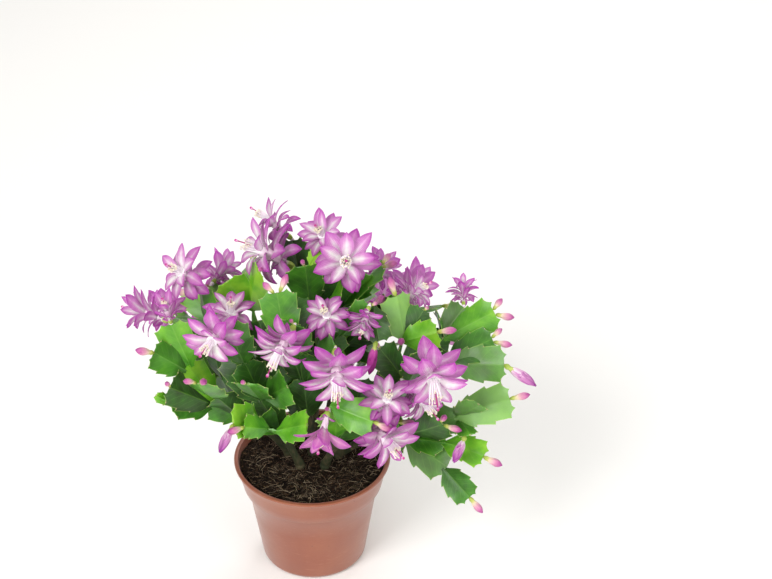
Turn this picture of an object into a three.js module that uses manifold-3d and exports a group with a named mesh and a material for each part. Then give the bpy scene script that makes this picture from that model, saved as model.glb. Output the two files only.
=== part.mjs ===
// A flowering Christmas cactus in a round terracotta-coloured plastic nursery pot, 120 mm across the rim.
// Millimetres, +Z up. The origin is the centre of the pot's flat underside, and -Y is the front.
// Nine rooted cuttings stand in the soil. Each grows as chains of flat, toothed stem segments that fork
// at their tips, and carries buds, and blooms with two whorls of pointed petals round a tube.

import * as THREE from "three";
import { mergeVertices } from "three/addons/utils/BufferGeometryUtils.js";
import Module from "manifold-3d";

const wasm = await Module();
wasm.setup();

// Driving dimensions of the pot
const POT_HEIGHT = 90;
const RIM_RADIUS = 60;
const BASE_RADIUS = 40;
const WALL = 1.8;
const LIP_HEIGHT = 2.2;
const LIP_OVERHANG = 1.3;
const COLLAR_HEIGHT = 22.4;
const COLLAR_FOOT_RADIUS = 53.7;
const BODY_TOP_RADIUS = 50.5;
const FOOT_ROUNDING = 4;
const FLOOR_THICKNESS = 2.4;
const DRAIN_COUNT = 8;
const DRAIN_RADIUS = 3.5;
const DRAIN_CIRCLE = 27;
const DRAIN_SIDES = 8;
const POT_SIDES = 36;
const COLLAR_STEP = 1;
const LIP_STEP = 0.5;

// Driving dimensions of the soil and of the gap kept between neighbouring pieces
const GAP = 0.3;
const SOIL_LEVEL = 85.5;
const SOIL_SIDES = 18;
const SOIL_RINGS = [24, 42];
const SOIL_LUMP = 1.1;
const SOIL_STEP_BELOW = 0.6;
const SOIL_STEP_ABOVE = 1.8;
const ROOT_RADIUS = 4.2;
const ROOT_DEPTH = 17;
const HOLE_SIDES = 8;

// Driving dimensions of the plant
const SEGMENT_WIDTH = 28;
const SEGMENT_THICKNESS = 3.2;
const WIDTH_BY_LENGTH = 0.78;
const YOUNG_WIDTH = 0.7;
const INNER_WIDTH = 0.9;
const FAR_RIDGE = 0.7;
const NECK_HALF_WIDTH = 3;
const NECK_RIDGE = 1.1;
const SUNK_FOOT = 3.5;
const FORK_SPREAD = 4;
const BUD_SPREAD = 4;
const BUD_NECK = 1.3;
const BUD_RADIUS_BY_LENGTH = 0.15;
const BUD_RADIUS_LEAST = 0.9;
const SHARPEST_BEND = 0.95;
const OLD_STEM_RADIUS = 3.6;
const OLD_NECK = [0.85, 0.7];
const BLOOM_LENGTH = 30;
const BLOOM_FOOT_RADIUS = 1.2;
const OVARY_RADIUS = 2.9;
const TUBE_WAIST_RADIUS = 2.6;
const TUBE_MIDDLE_RADIUS = 3.2;
const TUBE_RADIUS = 4.6;
const STAMEN_LENGTH = 17;
const STAMEN_RADII = [2, 0.9];
const PETAL_LENGTH = 27;
const OUTER_PETAL_SHORTER = 0.9;
const PETAL_HALF_WIDTH = 5;
const PETAL_THICKNESS = 1.5;
const PETAL_ROOM = 0.55;
const CURL_STEPS = 6;
const WHORL = 5;

// Petal widths: [along by the petal's length, by its half width]
const OUTER_PETAL = [[0.36, 0.9], [0.74, 0.8]];
const INNER_PETAL = [[0.3, 0.8], [0.56, 1.0], [0.82, 0.7]];

// Degrees between petal and tube, at the petal's foot and tip: [when shut, what opening adds]
const OUTER_CURL = { rise: [24, 16], fall: [20, 132] };
const INNER_CURL = { rise: [8, 24], fall: [8, 110] };

// How a bloom stands on a blade's tip, which slopes back from its middle
const BLOOM_SHIFT = 6;
const TIP_SLOPE = 0.18;
const FURTHEST_SEAT = 3.5;
const SEAT_STEP = 0.1;

// How twigs are routed: shares of their reach, and the wobble of their segments in degrees
const ROOT_SPLAY = 0.35;
const ROUTE_PULL = 0.3;
const TIP_DROOP = 0.06;
const WOBBLE = 24;

// Which way blades face: the crown's middle, where front turns to back, and the pull of each way
const CROWN_Y = 10;
const DIVIDE_Y = 45;
const DIVIDE_DEPTH = 60;
const FACE_OUT = 0.45;
const FACE_FRONT = 0.65;
const FACE_UP = 0.7;

const UP = new THREE.Vector3(0, 0, 1);
const vec = (x, y, z) => new THREE.Vector3(x, y, z);

// A repeatable draw from 0 to 1 for the whole number k
function draw(k) {
  const s = Math.sin(k * 12.9898 + 4.1414) * 43758.5453;
  return s - Math.floor(s);
}

// Solids and meshes

function solidOf(geometry) {
  const bare = geometry.index ? geometry.toNonIndexed() : geometry.clone();
  bare.deleteAttribute("normal");
  bare.deleteAttribute("uv");
  const merged = mergeVertices(bare, 1e-3);
  return new wasm.Manifold(
    new wasm.Mesh({
      numProp: 3,
      vertProperties: new Float32Array(merged.attributes.position.array),
      triVerts: new Uint32Array(merged.index.array),
    }),
  );
}

function geometryOf(solid) {
  const mesh = solid.getMesh();
  return new THREE.BufferGeometry()
    .setAttribute("position", new THREE.BufferAttribute(new Float32Array(mesh.vertProperties), 3))
    .setIndex(new THREE.BufferAttribute(new Uint32Array(mesh.triVerts), 1));
}

// A closed geometry from points and the triangles that join them, counter-clockwise from outside
function closedGeometry(points, triangles) {
  const geometry = new THREE.BufferGeometry();
  geometry.setAttribute(
    "position",
    new THREE.Float32BufferAttribute(points.flatMap((p) => [p.x, p.y, p.z]), 3),
  );
  geometry.setIndex(triangles.flat());
  return geometry;
}

const joined = (solids) => wasm.Manifold.union(solids);

function material(color, roughness) {
  return new THREE.MeshStandardMaterial({ color, roughness, metalness: 0 });
}

const potPlastic = material(0xb8755b, 0.55);
const pottingSoil = material(0x2e231b, 0.95);
const stemSkin = material(0x3f7a2c, 0.4);
const petalSkin = material(0xb765b8, 0.5);

// Pot: one thin-walled injection-moulded shell with a stepped collar and drain holes

// The outer wall's radius at height z
function outerRadius(z) {
  const collarFoot = POT_HEIGHT - COLLAR_HEIGHT;
  if (z <= collarFoot) {
    return THREE.MathUtils.lerp(BASE_RADIUS, BODY_TOP_RADIUS, z / collarFoot);
  }
  const collarTop = RIM_RADIUS - LIP_OVERHANG;
  return THREE.MathUtils.lerp(COLLAR_FOOT_RADIUS, collarTop, (z - collarFoot) / COLLAR_HEIGHT);
}

function potSolid() {
  const collarFoot = POT_HEIGHT - COLLAR_HEIGHT;
  const lipFoot = POT_HEIGHT - LIP_HEIGHT;
  const rounded = FOOT_ROUNDING * 0.3;
  const profile = [
    [0, 0],
    [BASE_RADIUS - FOOT_ROUNDING, 0],
    [BASE_RADIUS - rounded, rounded],
    [outerRadius(FOOT_ROUNDING), FOOT_ROUNDING],
    [BODY_TOP_RADIUS, collarFoot - COLLAR_STEP],
    [COLLAR_FOOT_RADIUS, collarFoot],
    [outerRadius(lipFoot), lipFoot],
    [RIM_RADIUS, lipFoot + LIP_STEP],
    [RIM_RADIUS, POT_HEIGHT],
    [RIM_RADIUS - LIP_OVERHANG - WALL, POT_HEIGHT],
    [COLLAR_FOOT_RADIUS - WALL, collarFoot + COLLAR_STEP],
    [BODY_TOP_RADIUS - WALL, collarFoot - COLLAR_STEP],
    [outerRadius(FLOOR_THICKNESS) - WALL, FLOOR_THICKNESS],
    [0, FLOOR_THICKNESS],
  ].map(([r, z]) => new THREE.Vector2(r, z));
  const shell = solidOf(new THREE.LatheGeometry(profile, POT_SIDES).rotateX(Math.PI / 2));
  const drains = Array.from({ length: DRAIN_COUNT }, (_, i) => {
    const turn = ((i + 0.5) / DRAIN_COUNT) * 2 * Math.PI;
    const height = 4 * FLOOR_THICKNESS;
    const drain = new THREE.CylinderGeometry(DRAIN_RADIUS, DRAIN_RADIUS, height, DRAIN_SIDES);
    drain.rotateX(Math.PI / 2);
    drain.translate(DRAIN_CIRCLE * Math.cos(turn), DRAIN_CIRCLE * Math.sin(turn), 0);
    return solidOf(drain);
  });
  return shell.subtract(joined(drains));
}

// Soil: fills the pot to just under the rim, with a lumpy top and a plain hole for each cutting's root

function soilHeight(x, y) {
  const broad = Math.sin(x * 0.11 + 1) * Math.cos(y * 0.13) + 0.6 * Math.sin(x * 0.31 - y * 0.23);
  return SOIL_LEVEL + SOIL_LUMP * broad;
}

function soilSolid(roots) {
  const collarFoot = POT_HEIGHT - COLLAR_HEIGHT;
  const within = (radius) => (radius - WALL) * Math.cos(Math.PI / POT_SIDES) - GAP;
  const profile = [
    [0, FLOOR_THICKNESS + GAP],
    [within(outerRadius(FLOOR_THICKNESS)), FLOOR_THICKNESS + GAP],
    [within(BODY_TOP_RADIUS), collarFoot - SOIL_STEP_BELOW],
    [within(COLLAR_FOOT_RADIUS), collarFoot + SOIL_STEP_ABOVE],
    [within(outerRadius(SOIL_LEVEL)) - GAP, SOIL_LEVEL],
    ...[...SOIL_RINGS].reverse().map((r) => [r, SOIL_LEVEL]),
    [0, SOIL_LEVEL],
  ].map(([r, z]) => new THREE.Vector2(r, z));
  const block = new THREE.LatheGeometry(profile, SOIL_SIDES).rotateX(Math.PI / 2);
  const place = block.attributes.position;
  for (let i = 0; i < place.count; i += 1) {
    if (place.getZ(i) > SOIL_LEVEL - 0.01) {
      place.setZ(i, soilHeight(place.getX(i), place.getY(i)));
    }
  }
  const holes = roots.map(([x, y]) => {
    const radius = (ROOT_RADIUS + GAP) / Math.cos(Math.PI / HOLE_SIDES);
    const hole = new THREE.CylinderGeometry(radius, radius, 2 * ROOT_DEPTH, HOLE_SIDES);
    hole.rotateX(Math.PI / 2);
    hole.translate(x, y, SOIL_LEVEL);
    return solidOf(hole);
  });
  return solidOf(block).subtract(joined(holes));
}

// Stem segments

// Half outlines between a segment's foot and tip: [along by length, across by half the width]
const OUTLINES = {
  tip: [[0.31, 0.86], [0.37, 0.7], [0.62, 1.0], [0.68, 0.82], [0.92, 0.92], [1.03, 0.48]],
  middle: [[0.42, 0.95], [0.49, 0.78], [0.84, 1.0], [0.97, 0.5]],
  young: [[0.2, 0.5], [0.45, 0.95], [0.8, 1.0], [1.03, 0.45]],
  old: [[0.5, 1.0]],
};
const TIP_RIB = [0.45, 0.84];
const MIDDLE_RIB = [0.5];

// Each cutting: where it is rooted, and its twigs. A twig is
// [which joint it starts at, tip x, y, z, number of segments, roll in degrees, what its tip carries].
// "root" is the soil line, and "2.1" is the first joint of twig 2. A plus sign marks a young last segment.
const CUTTINGS = {
  left: {
    root: [-19, 8],
    twigs: [
      ["root", -73, -18, 152, 3, 0, ""],
      ["0.3", -101, -31, 162, 1, 25, ""],
      ["1.1", -111, -36, 174, 1, 0, "+"],
      ["0.3", -100, -40, 184, 1, 10, ""],
      ["0.3", -88, -20, 188, 1, 30, ""],
      ["4.1", -99, -14, 222, 1, 10, ""],
      ["4.1", -111, -30, 208, 1, 20, "bud"],
      ["0.2", -78, -46, 192, 2, 10, "buds"],
      ["0.2", -80, 26, 228, 3, -20, ""],
      ["8.2", -102, 6, 210, 1, 10, ""],
      ["0.1", -94, 12, 174, 2, 0, ""],
    ],
  },
  frontLeft: {
    root: [-9, -9],
    twigs: [
      ["root", -36, -22, 160, 2, 0, ""],
      ["0.2", -56, -26, 230, 2, 20, ""],
      ["1.1", -57, -6, 206, 1, 0, ""],
      ["0.1", -54, -56, 165, 2, 10, "drooping"],
      ["0.1", -26, -46, 150, 1, 0, ""],
      ["4.1", -46, -58, 162, 1, 10, "bud"],
      ["4.1", 0, -61, 166, 1, -20, ""],
      ["0.2", -42, -52, 196, 1, 0, ""],
      ["0.2", -14, -50, 192, 1, 0, ""],
      ["0.2", -57, -12, 192, 1, 20, ""],
    ],
  },
  centre: {
    root: [0, 7],
    twigs: [
      ["root", -4, -14, 172, 2, 0, ""],
      ["0.2", -17, -36, 220, 2, 0, ""],
      ["1.2", -21, -24, 256, 1, 10, "buds"],
      ["0.2", -8, -38, 238, 2, -30, ""],
      ["0.2", 23, -24, 220, 2, 20, ""],
      ["4.2", 45, -20, 243, 1, 10, ""],
      ["0.2", 21, -52, 228, 2, -15, ""],
      ["0.1", -26, -14, 182, 2, 10, ""],
      ["1.2", -6, -12, 244, 1, -10, ""],
      ["5.1", 52, -34, 221, 1, 10, "nodding"],
      ["7.2", -36, -8, 221, 1, 0, ""],
    ],
  },
  frontRight: {
    root: [10, -9],
    twigs: [
      ["root", 34, -32, 150, 2, 0, ""],
      ["0.2", 55, -60, 175, 2, 20, ""],
      ["0.2", 42, -58, 166, 1, -10, ""],
      ["0.1", 16, -66, 184, 2, 0, ""],
      ["3.2", 48, -79, 182, 1, 0, "bud"],
      ["0.2", 66, -50, 160, 1, 10, "bud"],
      ["0.2", 38, -28, 182, 1, 20, ""],
    ],
  },
  right: {
    root: [20, 4],
    twigs: [
      ["root", 72, -28, 132, 2, 0, ""],
      ["0.2", 101, -53, 122, 1, 20, ""],
      ["1.1", 118, -68, 104, 1, 10, "bud"],
      ["0.2", 128, -58, 134, 2, -20, "bud"],
      ["0.2", 98, -46, 156, 1, 20, "buds"],
      ["0.2", 148, -30, 166, 2, 10, "bud"],
      ["0.1", 87, -38, 215, 3, 20, ""],
      ["6.2", 68, -36, 188, 1, 0, ""],
      ["5.1", 124, -44, 172, 1, 30, ""],
      ["6.2", 52, -28, 210, 1, 0, ""],
      ["5.1", 118, -52, 150, 1, 0, "sideways"],
    ],
  },
  rightUpper: {
    root: [16, 20],
    twigs: [
      ["root", 68, 4, 166, 3, 0, ""],
      ["0.3", 104, -2, 180, 1, 0, ""],
      ["1.1", 144, -12, 184, 1, 10, "hanging"],
      ["1.1", 136, 6, 194, 1, -30, "buds"],
      ["0.3", 100, 18, 190, 1, 10, ""],
      ["4.1", 138, 28, 204, 1, 20, "buds"],
      ["4.1", 115, 36, 203, 1, 0, ""],
      ["0.3", 68, -16, 206, 1, 15, "bud"],
      ["7.1", 64, -4, 240, 1, 0, "bud"],
      ["7.1", 94, -22, 220, 1, 20, "bud"],
      ["4.1", 96, 4, 214, 1, 0, ""],
      ["7.1", 84, 0, 225, 1, 10, ""],
    ],
  },
  top: {
    root: [0, 24],
    twigs: [
      ["root", 2, 26, 172, 2, 0, ""],
      ["0.2", -2, 8, 258, 2, 10, ""],
      ["0.2", 27, 20, 249, 2, -10, ""],
      ["0.2", 16, 40, 251, 2, 0, ""],
      ["3.1", -11, 36, 238, 1, -10, ""],
      ["0.2", 54, 36, 240, 2, 0, "buds"],
      ["5.1", 40, 66, 206, 1, 0, ""],
      ["0.1", 48, 8, 224, 2, 10, "bud"],
      ["7.1", 64, 16, 217, 1, 10, ""],
      ["1.2", 9, 22, 264, 1, -15, ""],
      ["5.1", 40, 30, 238, 1, 10, ""],
      ["7.1", 54, 2, 179, 1, 0, ""],
      ["0.2", -13, 58, 249, 2, 0, ""],
    ],
  },
  backLeft: {
    root: [-17, 25],
    twigs: [
      ["root", -42, 34, 166, 2, 0, ""],
      ["0.2", -36, 14, 250, 2, 20, ""],
      ["1.1", -60, 18, 238, 1, -20, ""],
      ["0.2", -76, 48, 214, 2, 0, ""],
      ["0.2", -104, 50, 184, 2, 10, ""],
      ["4.1", -96, 80, 184, 1, 30, "bud"],
      ["0.1", -72, 92, 152, 3, -10, ""],
      ["3.1", -46, 82, 216, 1, 0, "buds"],
    ],
  },
  backRight: {
    root: [9, 38],
    twigs: [
      ["root", 26, 66, 150, 2, 0, ""],
      ["0.2", 10, 84, 196, 2, 10, ""],
      ["0.2", 66, 84, 178, 2, -20, ""],
      ["0.2", 48, 118, 140, 2, 10, ""],
      ["2.1", 100, 66, 184, 1, 20, "bud"],
      ["0.1", -8, 118, 138, 3, 0, "bud"],
      ["0.1", 96, 96, 138, 3, 10, "hanging"],
    ],
  },
};

// Blooms: [cutting, twig, the way it faces, size, turn in degrees, how far its petals open from 0 to 1]
const BLOOMS = [
  ["top", 4, -0.81, -0.09, 0.58, 1.05, 36, 0.9],
  ["backLeft", 6, -0.31, 0.94, -0.1, 0.85, 18, 0.9],
  ["top", 3, -0.25, -0.45, 0.86, 0.78, 20, 0.9],
  ["top", 2, 0.03, -0.76, 0.65, 1.0, 18, 1.0],
  ["top", 6, 0.62, 0.78, 0.1, 0.7, 15, 0.9],
  ["left", 8, -0.51, -0.41, 0.76, 0.88, 45, 1.0],
  ["left", 9, -0.93, 0.3, 0.2, 0.8, 0, 0.7],
  ["left", 5, -0.15, -0.2, 0.97, 0.6, 0, 0.3],
  ["frontLeft", 1, -0.38, -0.92, 0.09, 0.9, 18, 1.0],
  ["frontLeft", 2, 0.05, -0.16, 0.99, 0.78, 0, 0.9],
  ["centre", 3, -0.4, -0.86, -0.31, 0.88, 0, 1.0],
  ["centre", 4, -0.14, -0.41, 0.9, 0.7, 54, 0.9],
  ["centre", 5, -0.24, -0.91, -0.34, 0.58, 0, 0.7],
  ["centre", 6, 0.05, -0.98, -0.21, 1.05, 10, 1.0],
  ["frontRight", 1, 0.1, -0.44, 0.89, 0.78, 9, 1.0],
  ["frontRight", 2, 0.58, -0.82, 0, 0.95, 0, 0.9],
  ["frontRight", 3, -0.2, -0.91, -0.35, 0.7, 0, 0.7],
  ["right", 6, 0.1, -0.99, -0.1, 1.08, 8, 1.0],
  ["right", 7, 0.63, -0.73, -0.26, 0.8, 36, 0.9],
  ["top", 8, 0.75, 0.05, 0.65, 0.68, 0, 0.9],
  ["rightUpper", 6, 0, 0.83, 0.55, 0.52, 0, 0.9],
  ["top", 12, -0.75, 0.2, 0.62, 0.75, 0, 0.9],
  ["backLeft", 3, 0.41, 0.91, 0.11, 0.65, 0, 1.0],
  ["backLeft", 4, -0.51, 0.81, -0.3, 0.75, 20, 1.0],
  ["backRight", 1, 0.15, 0.98, 0.1, 0.85, 45, 1.0],
  ["backRight", 2, 0.5, 0.86, -0.1, 0.85, 30, 0.9],
  ["backRight", 3, 0.35, 0.94, 0, 0.95, 15, 1.0],
];

// The matrix that puts local x along `along`, with local z as near to `facing` as it can be
function frameAt(origin, along, facing) {
  const x = along.clone().normalize();
  const y = facing.clone().cross(x).normalize();
  const z = x.clone().cross(y);
  return new THREE.Matrix4().makeBasis(x, y, z).setPosition(origin);
}

// The way a segment's upper face looks: outwards and up, and to the front or back of the plant
function facingAt(place, along, roll) {
  const outward = vec(place.x, place.y - CROWN_Y, 0).setLength(FACE_OUT);
  const side = THREE.MathUtils.clamp((DIVIDE_Y - place.y) / DIVIDE_DEPTH, -1, 1);
  const facing = outward.add(vec(0, -FACE_FRONT * side, FACE_UP));
  facing.addScaledVector(along, -facing.dot(along) / along.lengthSq()).normalize();
  return facing.applyAxisAngle(along.clone().normalize(), THREE.MathUtils.degToRad(roll));
}

// The route of one twig: its joints, and each segment's facing and proportions
function growTwig(cutting, index, grown) {
  const [from, x, y, z, count, roll, carries] = cutting.twigs[index];
  const tip = vec(x, y, z);
  const [rootX, rootY] = cutting.root;
  const start = vec(rootX, rootY, SOIL_LEVEL + 3);
  const leaving = vec(x - rootX, y - rootY, 0).setLength(ROOT_SPLAY).add(UP);
  if (from !== "root") {
    const [twig, joint] = from.split(".").map(Number);
    const parent = grown[twig];
    start.copy(parent.joints[joint]);
    leaving.copy(start).sub(parent.joints[joint - 1]);
    const across = new THREE.Vector3().setFromMatrixColumn(parent.segments[joint - 1].frame, 1);
    const sideways = across.dot(tip.clone().sub(start).normalize());
    start.addScaledVector(across, THREE.MathUtils.clamp(2 * sideways, -1, 1) * FORK_SPREAD);
  }
  const reach = tip.clone().sub(start);
  leaving.setLength(ROUTE_PULL * reach.length()).add(start);
  const arriving = tip.clone().addScaledVector(reach, -ROUTE_PULL);
  arriving.z += TIP_DROOP * reach.length();
  const route = new THREE.CubicBezierCurve3(start, leaving, arriving, tip);
  const joints = Array.from({ length: count + 1 }, (_, i) => route.getPointAt(i / count));
  const segments = joints.slice(0, -1).map((origin, i) => {
    const along = joints[i + 1].clone().sub(origin);
    const last = i === count - 1;
    const young = last && carries.includes("+");
    const old = from === "root" && i < count - 1;
    const wobble = WOBBLE * (draw(rootX * 7 + rootY * 13 + index * 5 + i) - 0.5);
    const middle = origin.clone().addScaledVector(along, 0.5);
    const full = Math.min(SEGMENT_WIDTH, WIDTH_BY_LENGTH * along.length());
    return {
      frame: frameAt(origin, along, facingAt(middle, along, roll + wobble)),
      length: along.length(),
      half: (full / 2) * (young ? YOUNG_WIDTH : last ? 1 : INNER_WIDTH),
      ridge: SEGMENT_THICKNESS / 2,
      kind: young ? "young" : last ? "tip" : "middle",
      ...(old ? { half: OLD_STEM_RADIUS, ridge: OLD_STEM_RADIUS, kind: "old" } : {}),
    };
  });
  return { joints, segments, carries: carries.replace("+", ""), children: [] };
}

// The angle between the ways two segments head
function bendBetween(a, b) {
  const [from, to] = [a, b].map(({ frame }) => new THREE.Vector3().setFromMatrixColumn(frame, 0));
  return from.angleTo(to);
}

function growCutting(cutting) {
  const grown = [];
  cutting.twigs.forEach(([from], index) => {
    const twig = growTwig(cutting, index, grown);
    const [parent, joint] = from.split(".").map(Number);
    const onTip = from !== "root" && joint === grown[parent].segments.length;
    const bend = onTip ? bendBetween(grown[parent].segments[joint - 1], twig.segments[0]) : Math.PI;
    twig.welded = bend < SHARPEST_BEND && grown[parent].children.length === 0;
    if (twig.welded) {
      grown[parent].children.push(twig);
    }
    grown.push(twig);
  });
  return grown;
}

// Triangles between an inner and an outer row of points, each given as [index, distance along]
function strip(inner, outer) {
  const triangles = [];
  let i = 0;
  let k = 0;
  while (i < inner.length - 1 || k < outer.length - 1) {
    const innerNext = i < inner.length - 1 ? inner[i][1] + inner[i + 1][1] : Infinity;
    const outerNext = k < outer.length - 1 ? outer[k][1] + outer[k + 1][1] : Infinity;
    if (innerNext < outerNext) {
      triangles.push([inner[i][0], outer[k][0], inner[i + 1][0]]);
      i += 1;
    } else {
      triangles.push([inner[i][0], outer[k][0], outer[k + 1][0]]);
      k += 1;
    }
  }
  return triangles;
}

// Buds: [how far round the tip, length, how far they sag], hung on the twig's tip
const BUD_SETS = {
  "": [],
  bud: [[0.1, 15, 0.25]],
  buds: [[-0.55, 14, 0.2], [0.55, 11, 0.2]],
  hanging: [[0.0, 27, 0.75]],
  drooping: [[0.5, 24, 0.5]],
  nodding: [[-0.6, 24, 1.0]],
  sideways: [[-1.0, 24, 0.3]],
};
const BUD_PROFILE = [[0.3, 0.62], [0.68, 1.0]];

// The buds on a twig's tip, each with its own frame
function budsOf(twig) {
  const { frame } = twig.segments[twig.segments.length - 1];
  const along = new THREE.Vector3().setFromMatrixColumn(frame, 0);
  const across = new THREE.Vector3().setFromMatrixColumn(frame, 1);
  const facing = new THREE.Vector3().setFromMatrixColumn(frame, 2);
  return BUD_SETS[twig.carries].map(([turn, length, sag]) => {
    const origin = twig.joints[twig.joints.length - 1].clone().addScaledVector(across, BUD_SPREAD * turn);
    const heading = along.clone().addScaledVector(across, turn).addScaledVector(UP, -sag);
    return { frame: frameAt(origin, heading, facing), length, half: BUD_NECK, ridge: BUD_NECK };
  });
}

// Builds closed meshes of segments and buds that grow out of each other. Every link is a ring of four
// points, in the order right, top, left, under.
class StemMesh {
  constructor() {
    this.points = [];
    this.triangles = [];
  }

  put(frame, x, y, z) {
    return this.points.push(vec(x, y, z).applyMatrix4(frame)) - 1;
  }

  ring(frame, x, half, ridge, y = 0) {
    return [
      this.put(frame, x, y + half, 0),
      this.put(frame, x, y, ridge),
      this.put(frame, x, y - half, 0),
      this.put(frame, x, y, -ridge),
    ];
  }

  close([right, top, left, under]) {
    this.triangles.push([right, left, top], [right, under, left]);
  }

  wall(from, to) {
    for (let i = 0; i < 4; i += 1) {
      const j = (i + 1) % 4;
      this.triangles.push([from[i], from[j], to[j]], [from[i], to[j], to[i]]);
    }
  }

  // The same ring, started at the point that lies nearest the frame's own right-hand side
  matched(ring, frame) {
    const across = new THREE.Vector3().setFromMatrixColumn(frame, 1);
    const sides = ring.map((i) => this.points[i].dot(across));
    const first = sides.indexOf(Math.max(...sides));
    return ring.map((_, i) => ring[(first + i) % 4]);
  }

  bud({ frame, length }, link) {
    const wide = BUD_RADIUS_BY_LENGTH * length + BUD_RADIUS_LEAST;
    let from = this.matched(link, frame);
    BUD_PROFILE.forEach(([t, size]) => {
      const to = this.ring(frame, t * length, size * wide, size * wide);
      this.wall(from, to);
      from = to;
    });
    const tip = this.put(frame, length, 0, 0);
    from.forEach((i, k) => this.triangles.push([i, from[(k + 1) % 4], tip]));
  }

  // A twig's flat segments. Each has a ridge along both faces and a thin toothed margin, and narrows to a
  // ring where the next one joins. Its tip ends in a ring for each bud and twig that grows on from it.
  twig(twig, link) {
    let from = this.matched(link, twig.segments[0].frame);
    twig.segments.forEach((segment, i) => {
      const { frame, length, half, ridge, kind } = segment;
      const next = twig.segments[i + 1];
      const onward = next ? [next] : [...twig.children, ...budsOf(twig)];
      const ribAlong = kind === "tip" ? TIP_RIB : MIDDLE_RIB;
      const outline = !next && (twig.blooming || twig.children.length) ? OUTLINES.middle : OUTLINES[kind];
      const high = [ridge, FAR_RIDGE * ridge];
      const at = (t, y, z) => [this.put(frame, t * length, y, z), t * length];
      const rib = (sign) => ribAlong.map((t, k) => at(t, 0, sign * high[k]));
      const margin = (sign) => outline.map(([t, wide]) => at(t, sign * wide * half, 0));
      const right = [[from[0], 0], ...margin(1)];
      const left = [[from[2], 0], ...margin(-1)];
      const top = [[from[1], 0], ...rib(1)];
      const under = [[from[3], 0], ...rib(-1)];
      const ribEnds = [top[top.length - 1][0], under[under.length - 1][0]];
      const links = next ? [this.neck(segment, next)] : this.sockets(frame, length, onward);
      if (links.length === 0) {
        const tip = this.put(frame, length, 0, 0);
        right.push([tip, length]);
        left.push([tip, length]);
        this.strips(right, left, [top, top], [under, under]);
      } else {
        const first = links[0];
        const last = links[links.length - 1];
        right.push([last[0], length]);
        left.push([first[2], length]);
        const tops = [[...top, [last[1], length]], [...top, [first[1], length]]];
        const unders = [[...under, [last[3], length]], [...under, [first[3], length]]];
        this.strips(right, left, tops, unders);
        for (let k = 0; k < links.length - 1; k += 1) {
          const [a, b] = [links[k], links[k + 1]];
          this.triangles.push([ribEnds[0], a[1], a[0]], [ribEnds[0], a[0], b[1]]);
          this.triangles.push([ribEnds[1], a[0], a[3]], [ribEnds[1], b[3], a[0]]);
        }
      }
      if (next) {
        [from] = links;
      } else {
        onward.forEach((child) => {
          const grow = child.joints ? this.twig : this.bud;
          grow.call(this, child, links[child.slot]);
        });
      }
    });
  }

  strips(right, left, [topRight, topLeft], [underRight, underLeft]) {
    this.triangles.push(
      ...strip(topLeft, left),
      ...strip(underRight, right),
      ...strip(topRight, right).map(([a, b, c]) => [a, c, b]),
      ...strip(underLeft, left).map(([a, b, c]) => [a, c, b]),
    );
  }

  neck(segment, next) {
    const oldNeck = OLD_NECK.map((share) => share * OLD_STEM_RADIUS);
    const [half, ridge] = segment.kind === "old" ? oldNeck : [NECK_HALF_WIDTH, NECK_RIDGE];
    const [along, facing] = [0, 2].map((column) => {
      const ways = [segment, next].map(({ frame }) => new THREE.Vector3().setFromMatrixColumn(frame, column));
      return ways[0].add(ways[1]);
    });
    const mitred = frameAt(new THREE.Vector3().setFromMatrixPosition(next.frame), along, facing);
    return this.ring(mitred, 0, half, ridge);
  }

  // Side by side across a tip, one ring for each thing that grows on from it, neighbours sharing a point
  sockets(frame, length, onward) {
    const across = new THREE.Vector3().setFromMatrixColumn(frame, 1);
    const ordered = [...onward].sort((a, b) => sidewaysOf(a, across) - sidewaysOf(b, across));
    const total = ordered.reduce((sum, child) => sum + 2 * halfOf(child), 0);
    let y = -total / 2;
    let shared = null;
    return ordered.map((child, k) => {
      const half = halfOf(child);
      const ridge = child.joints ? NECK_RIDGE : BUD_NECK;
      const ring = this.ring(frame, length, half, ridge, y + half);
      if (shared !== null) {
        ring[2] = shared;
      }
      [shared] = ring;
      y += 2 * half;
      child.slot = k;
      return ring;
    });
  }
}

const halfOf = (child) => (child.joints ? NECK_HALF_WIDTH : BUD_NECK);

// How far a child heads to the side of its parent's tip
function sidewaysOf(child, across) {
  const { frame } = child.joints ? child.segments[0] : child;
  return across.dot(new THREE.Vector3().setFromMatrixColumn(frame, 0));
}

// One cutting as one body. A tip's first twig grows on in the same mesh, and the others are joined to it.
function cuttingSolid(cutting, grown) {
  const [x, y] = cutting.root;
  const solids = [];
  grown.forEach((twig, index) => {
    const [from] = cutting.twigs[index];
    if (twig.welded) {
      return;
    }
    const mesh = new StemMesh();
    const { frame } = twig.segments[0];
    let link;
    if (from === "root") {
      const facing = new THREE.Vector3().setFromMatrixColumn(frame, 2);
      const rootFrame = frameAt(vec(x, y, SOIL_LEVEL - ROOT_DEPTH + GAP), UP, facing);
      const end = mesh.ring(rootFrame, 0, ROOT_RADIUS, ROOT_RADIUS);
      link = mesh.ring(rootFrame, ROOT_DEPTH + 2, OLD_STEM_RADIUS, OLD_STEM_RADIUS);
      mesh.close(end);
      mesh.wall(end, link);
    } else {
      link = mesh.ring(frame, -SUNK_FOOT, NECK_HALF_WIDTH, NECK_RIDGE);
      mesh.close(link);
    }
    mesh.twig(twig, link);
    solids.push(solidOf(closedGeometry(mesh.points, mesh.triangles)));
  });
  return joined(solids);
}

// Blooms

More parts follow.
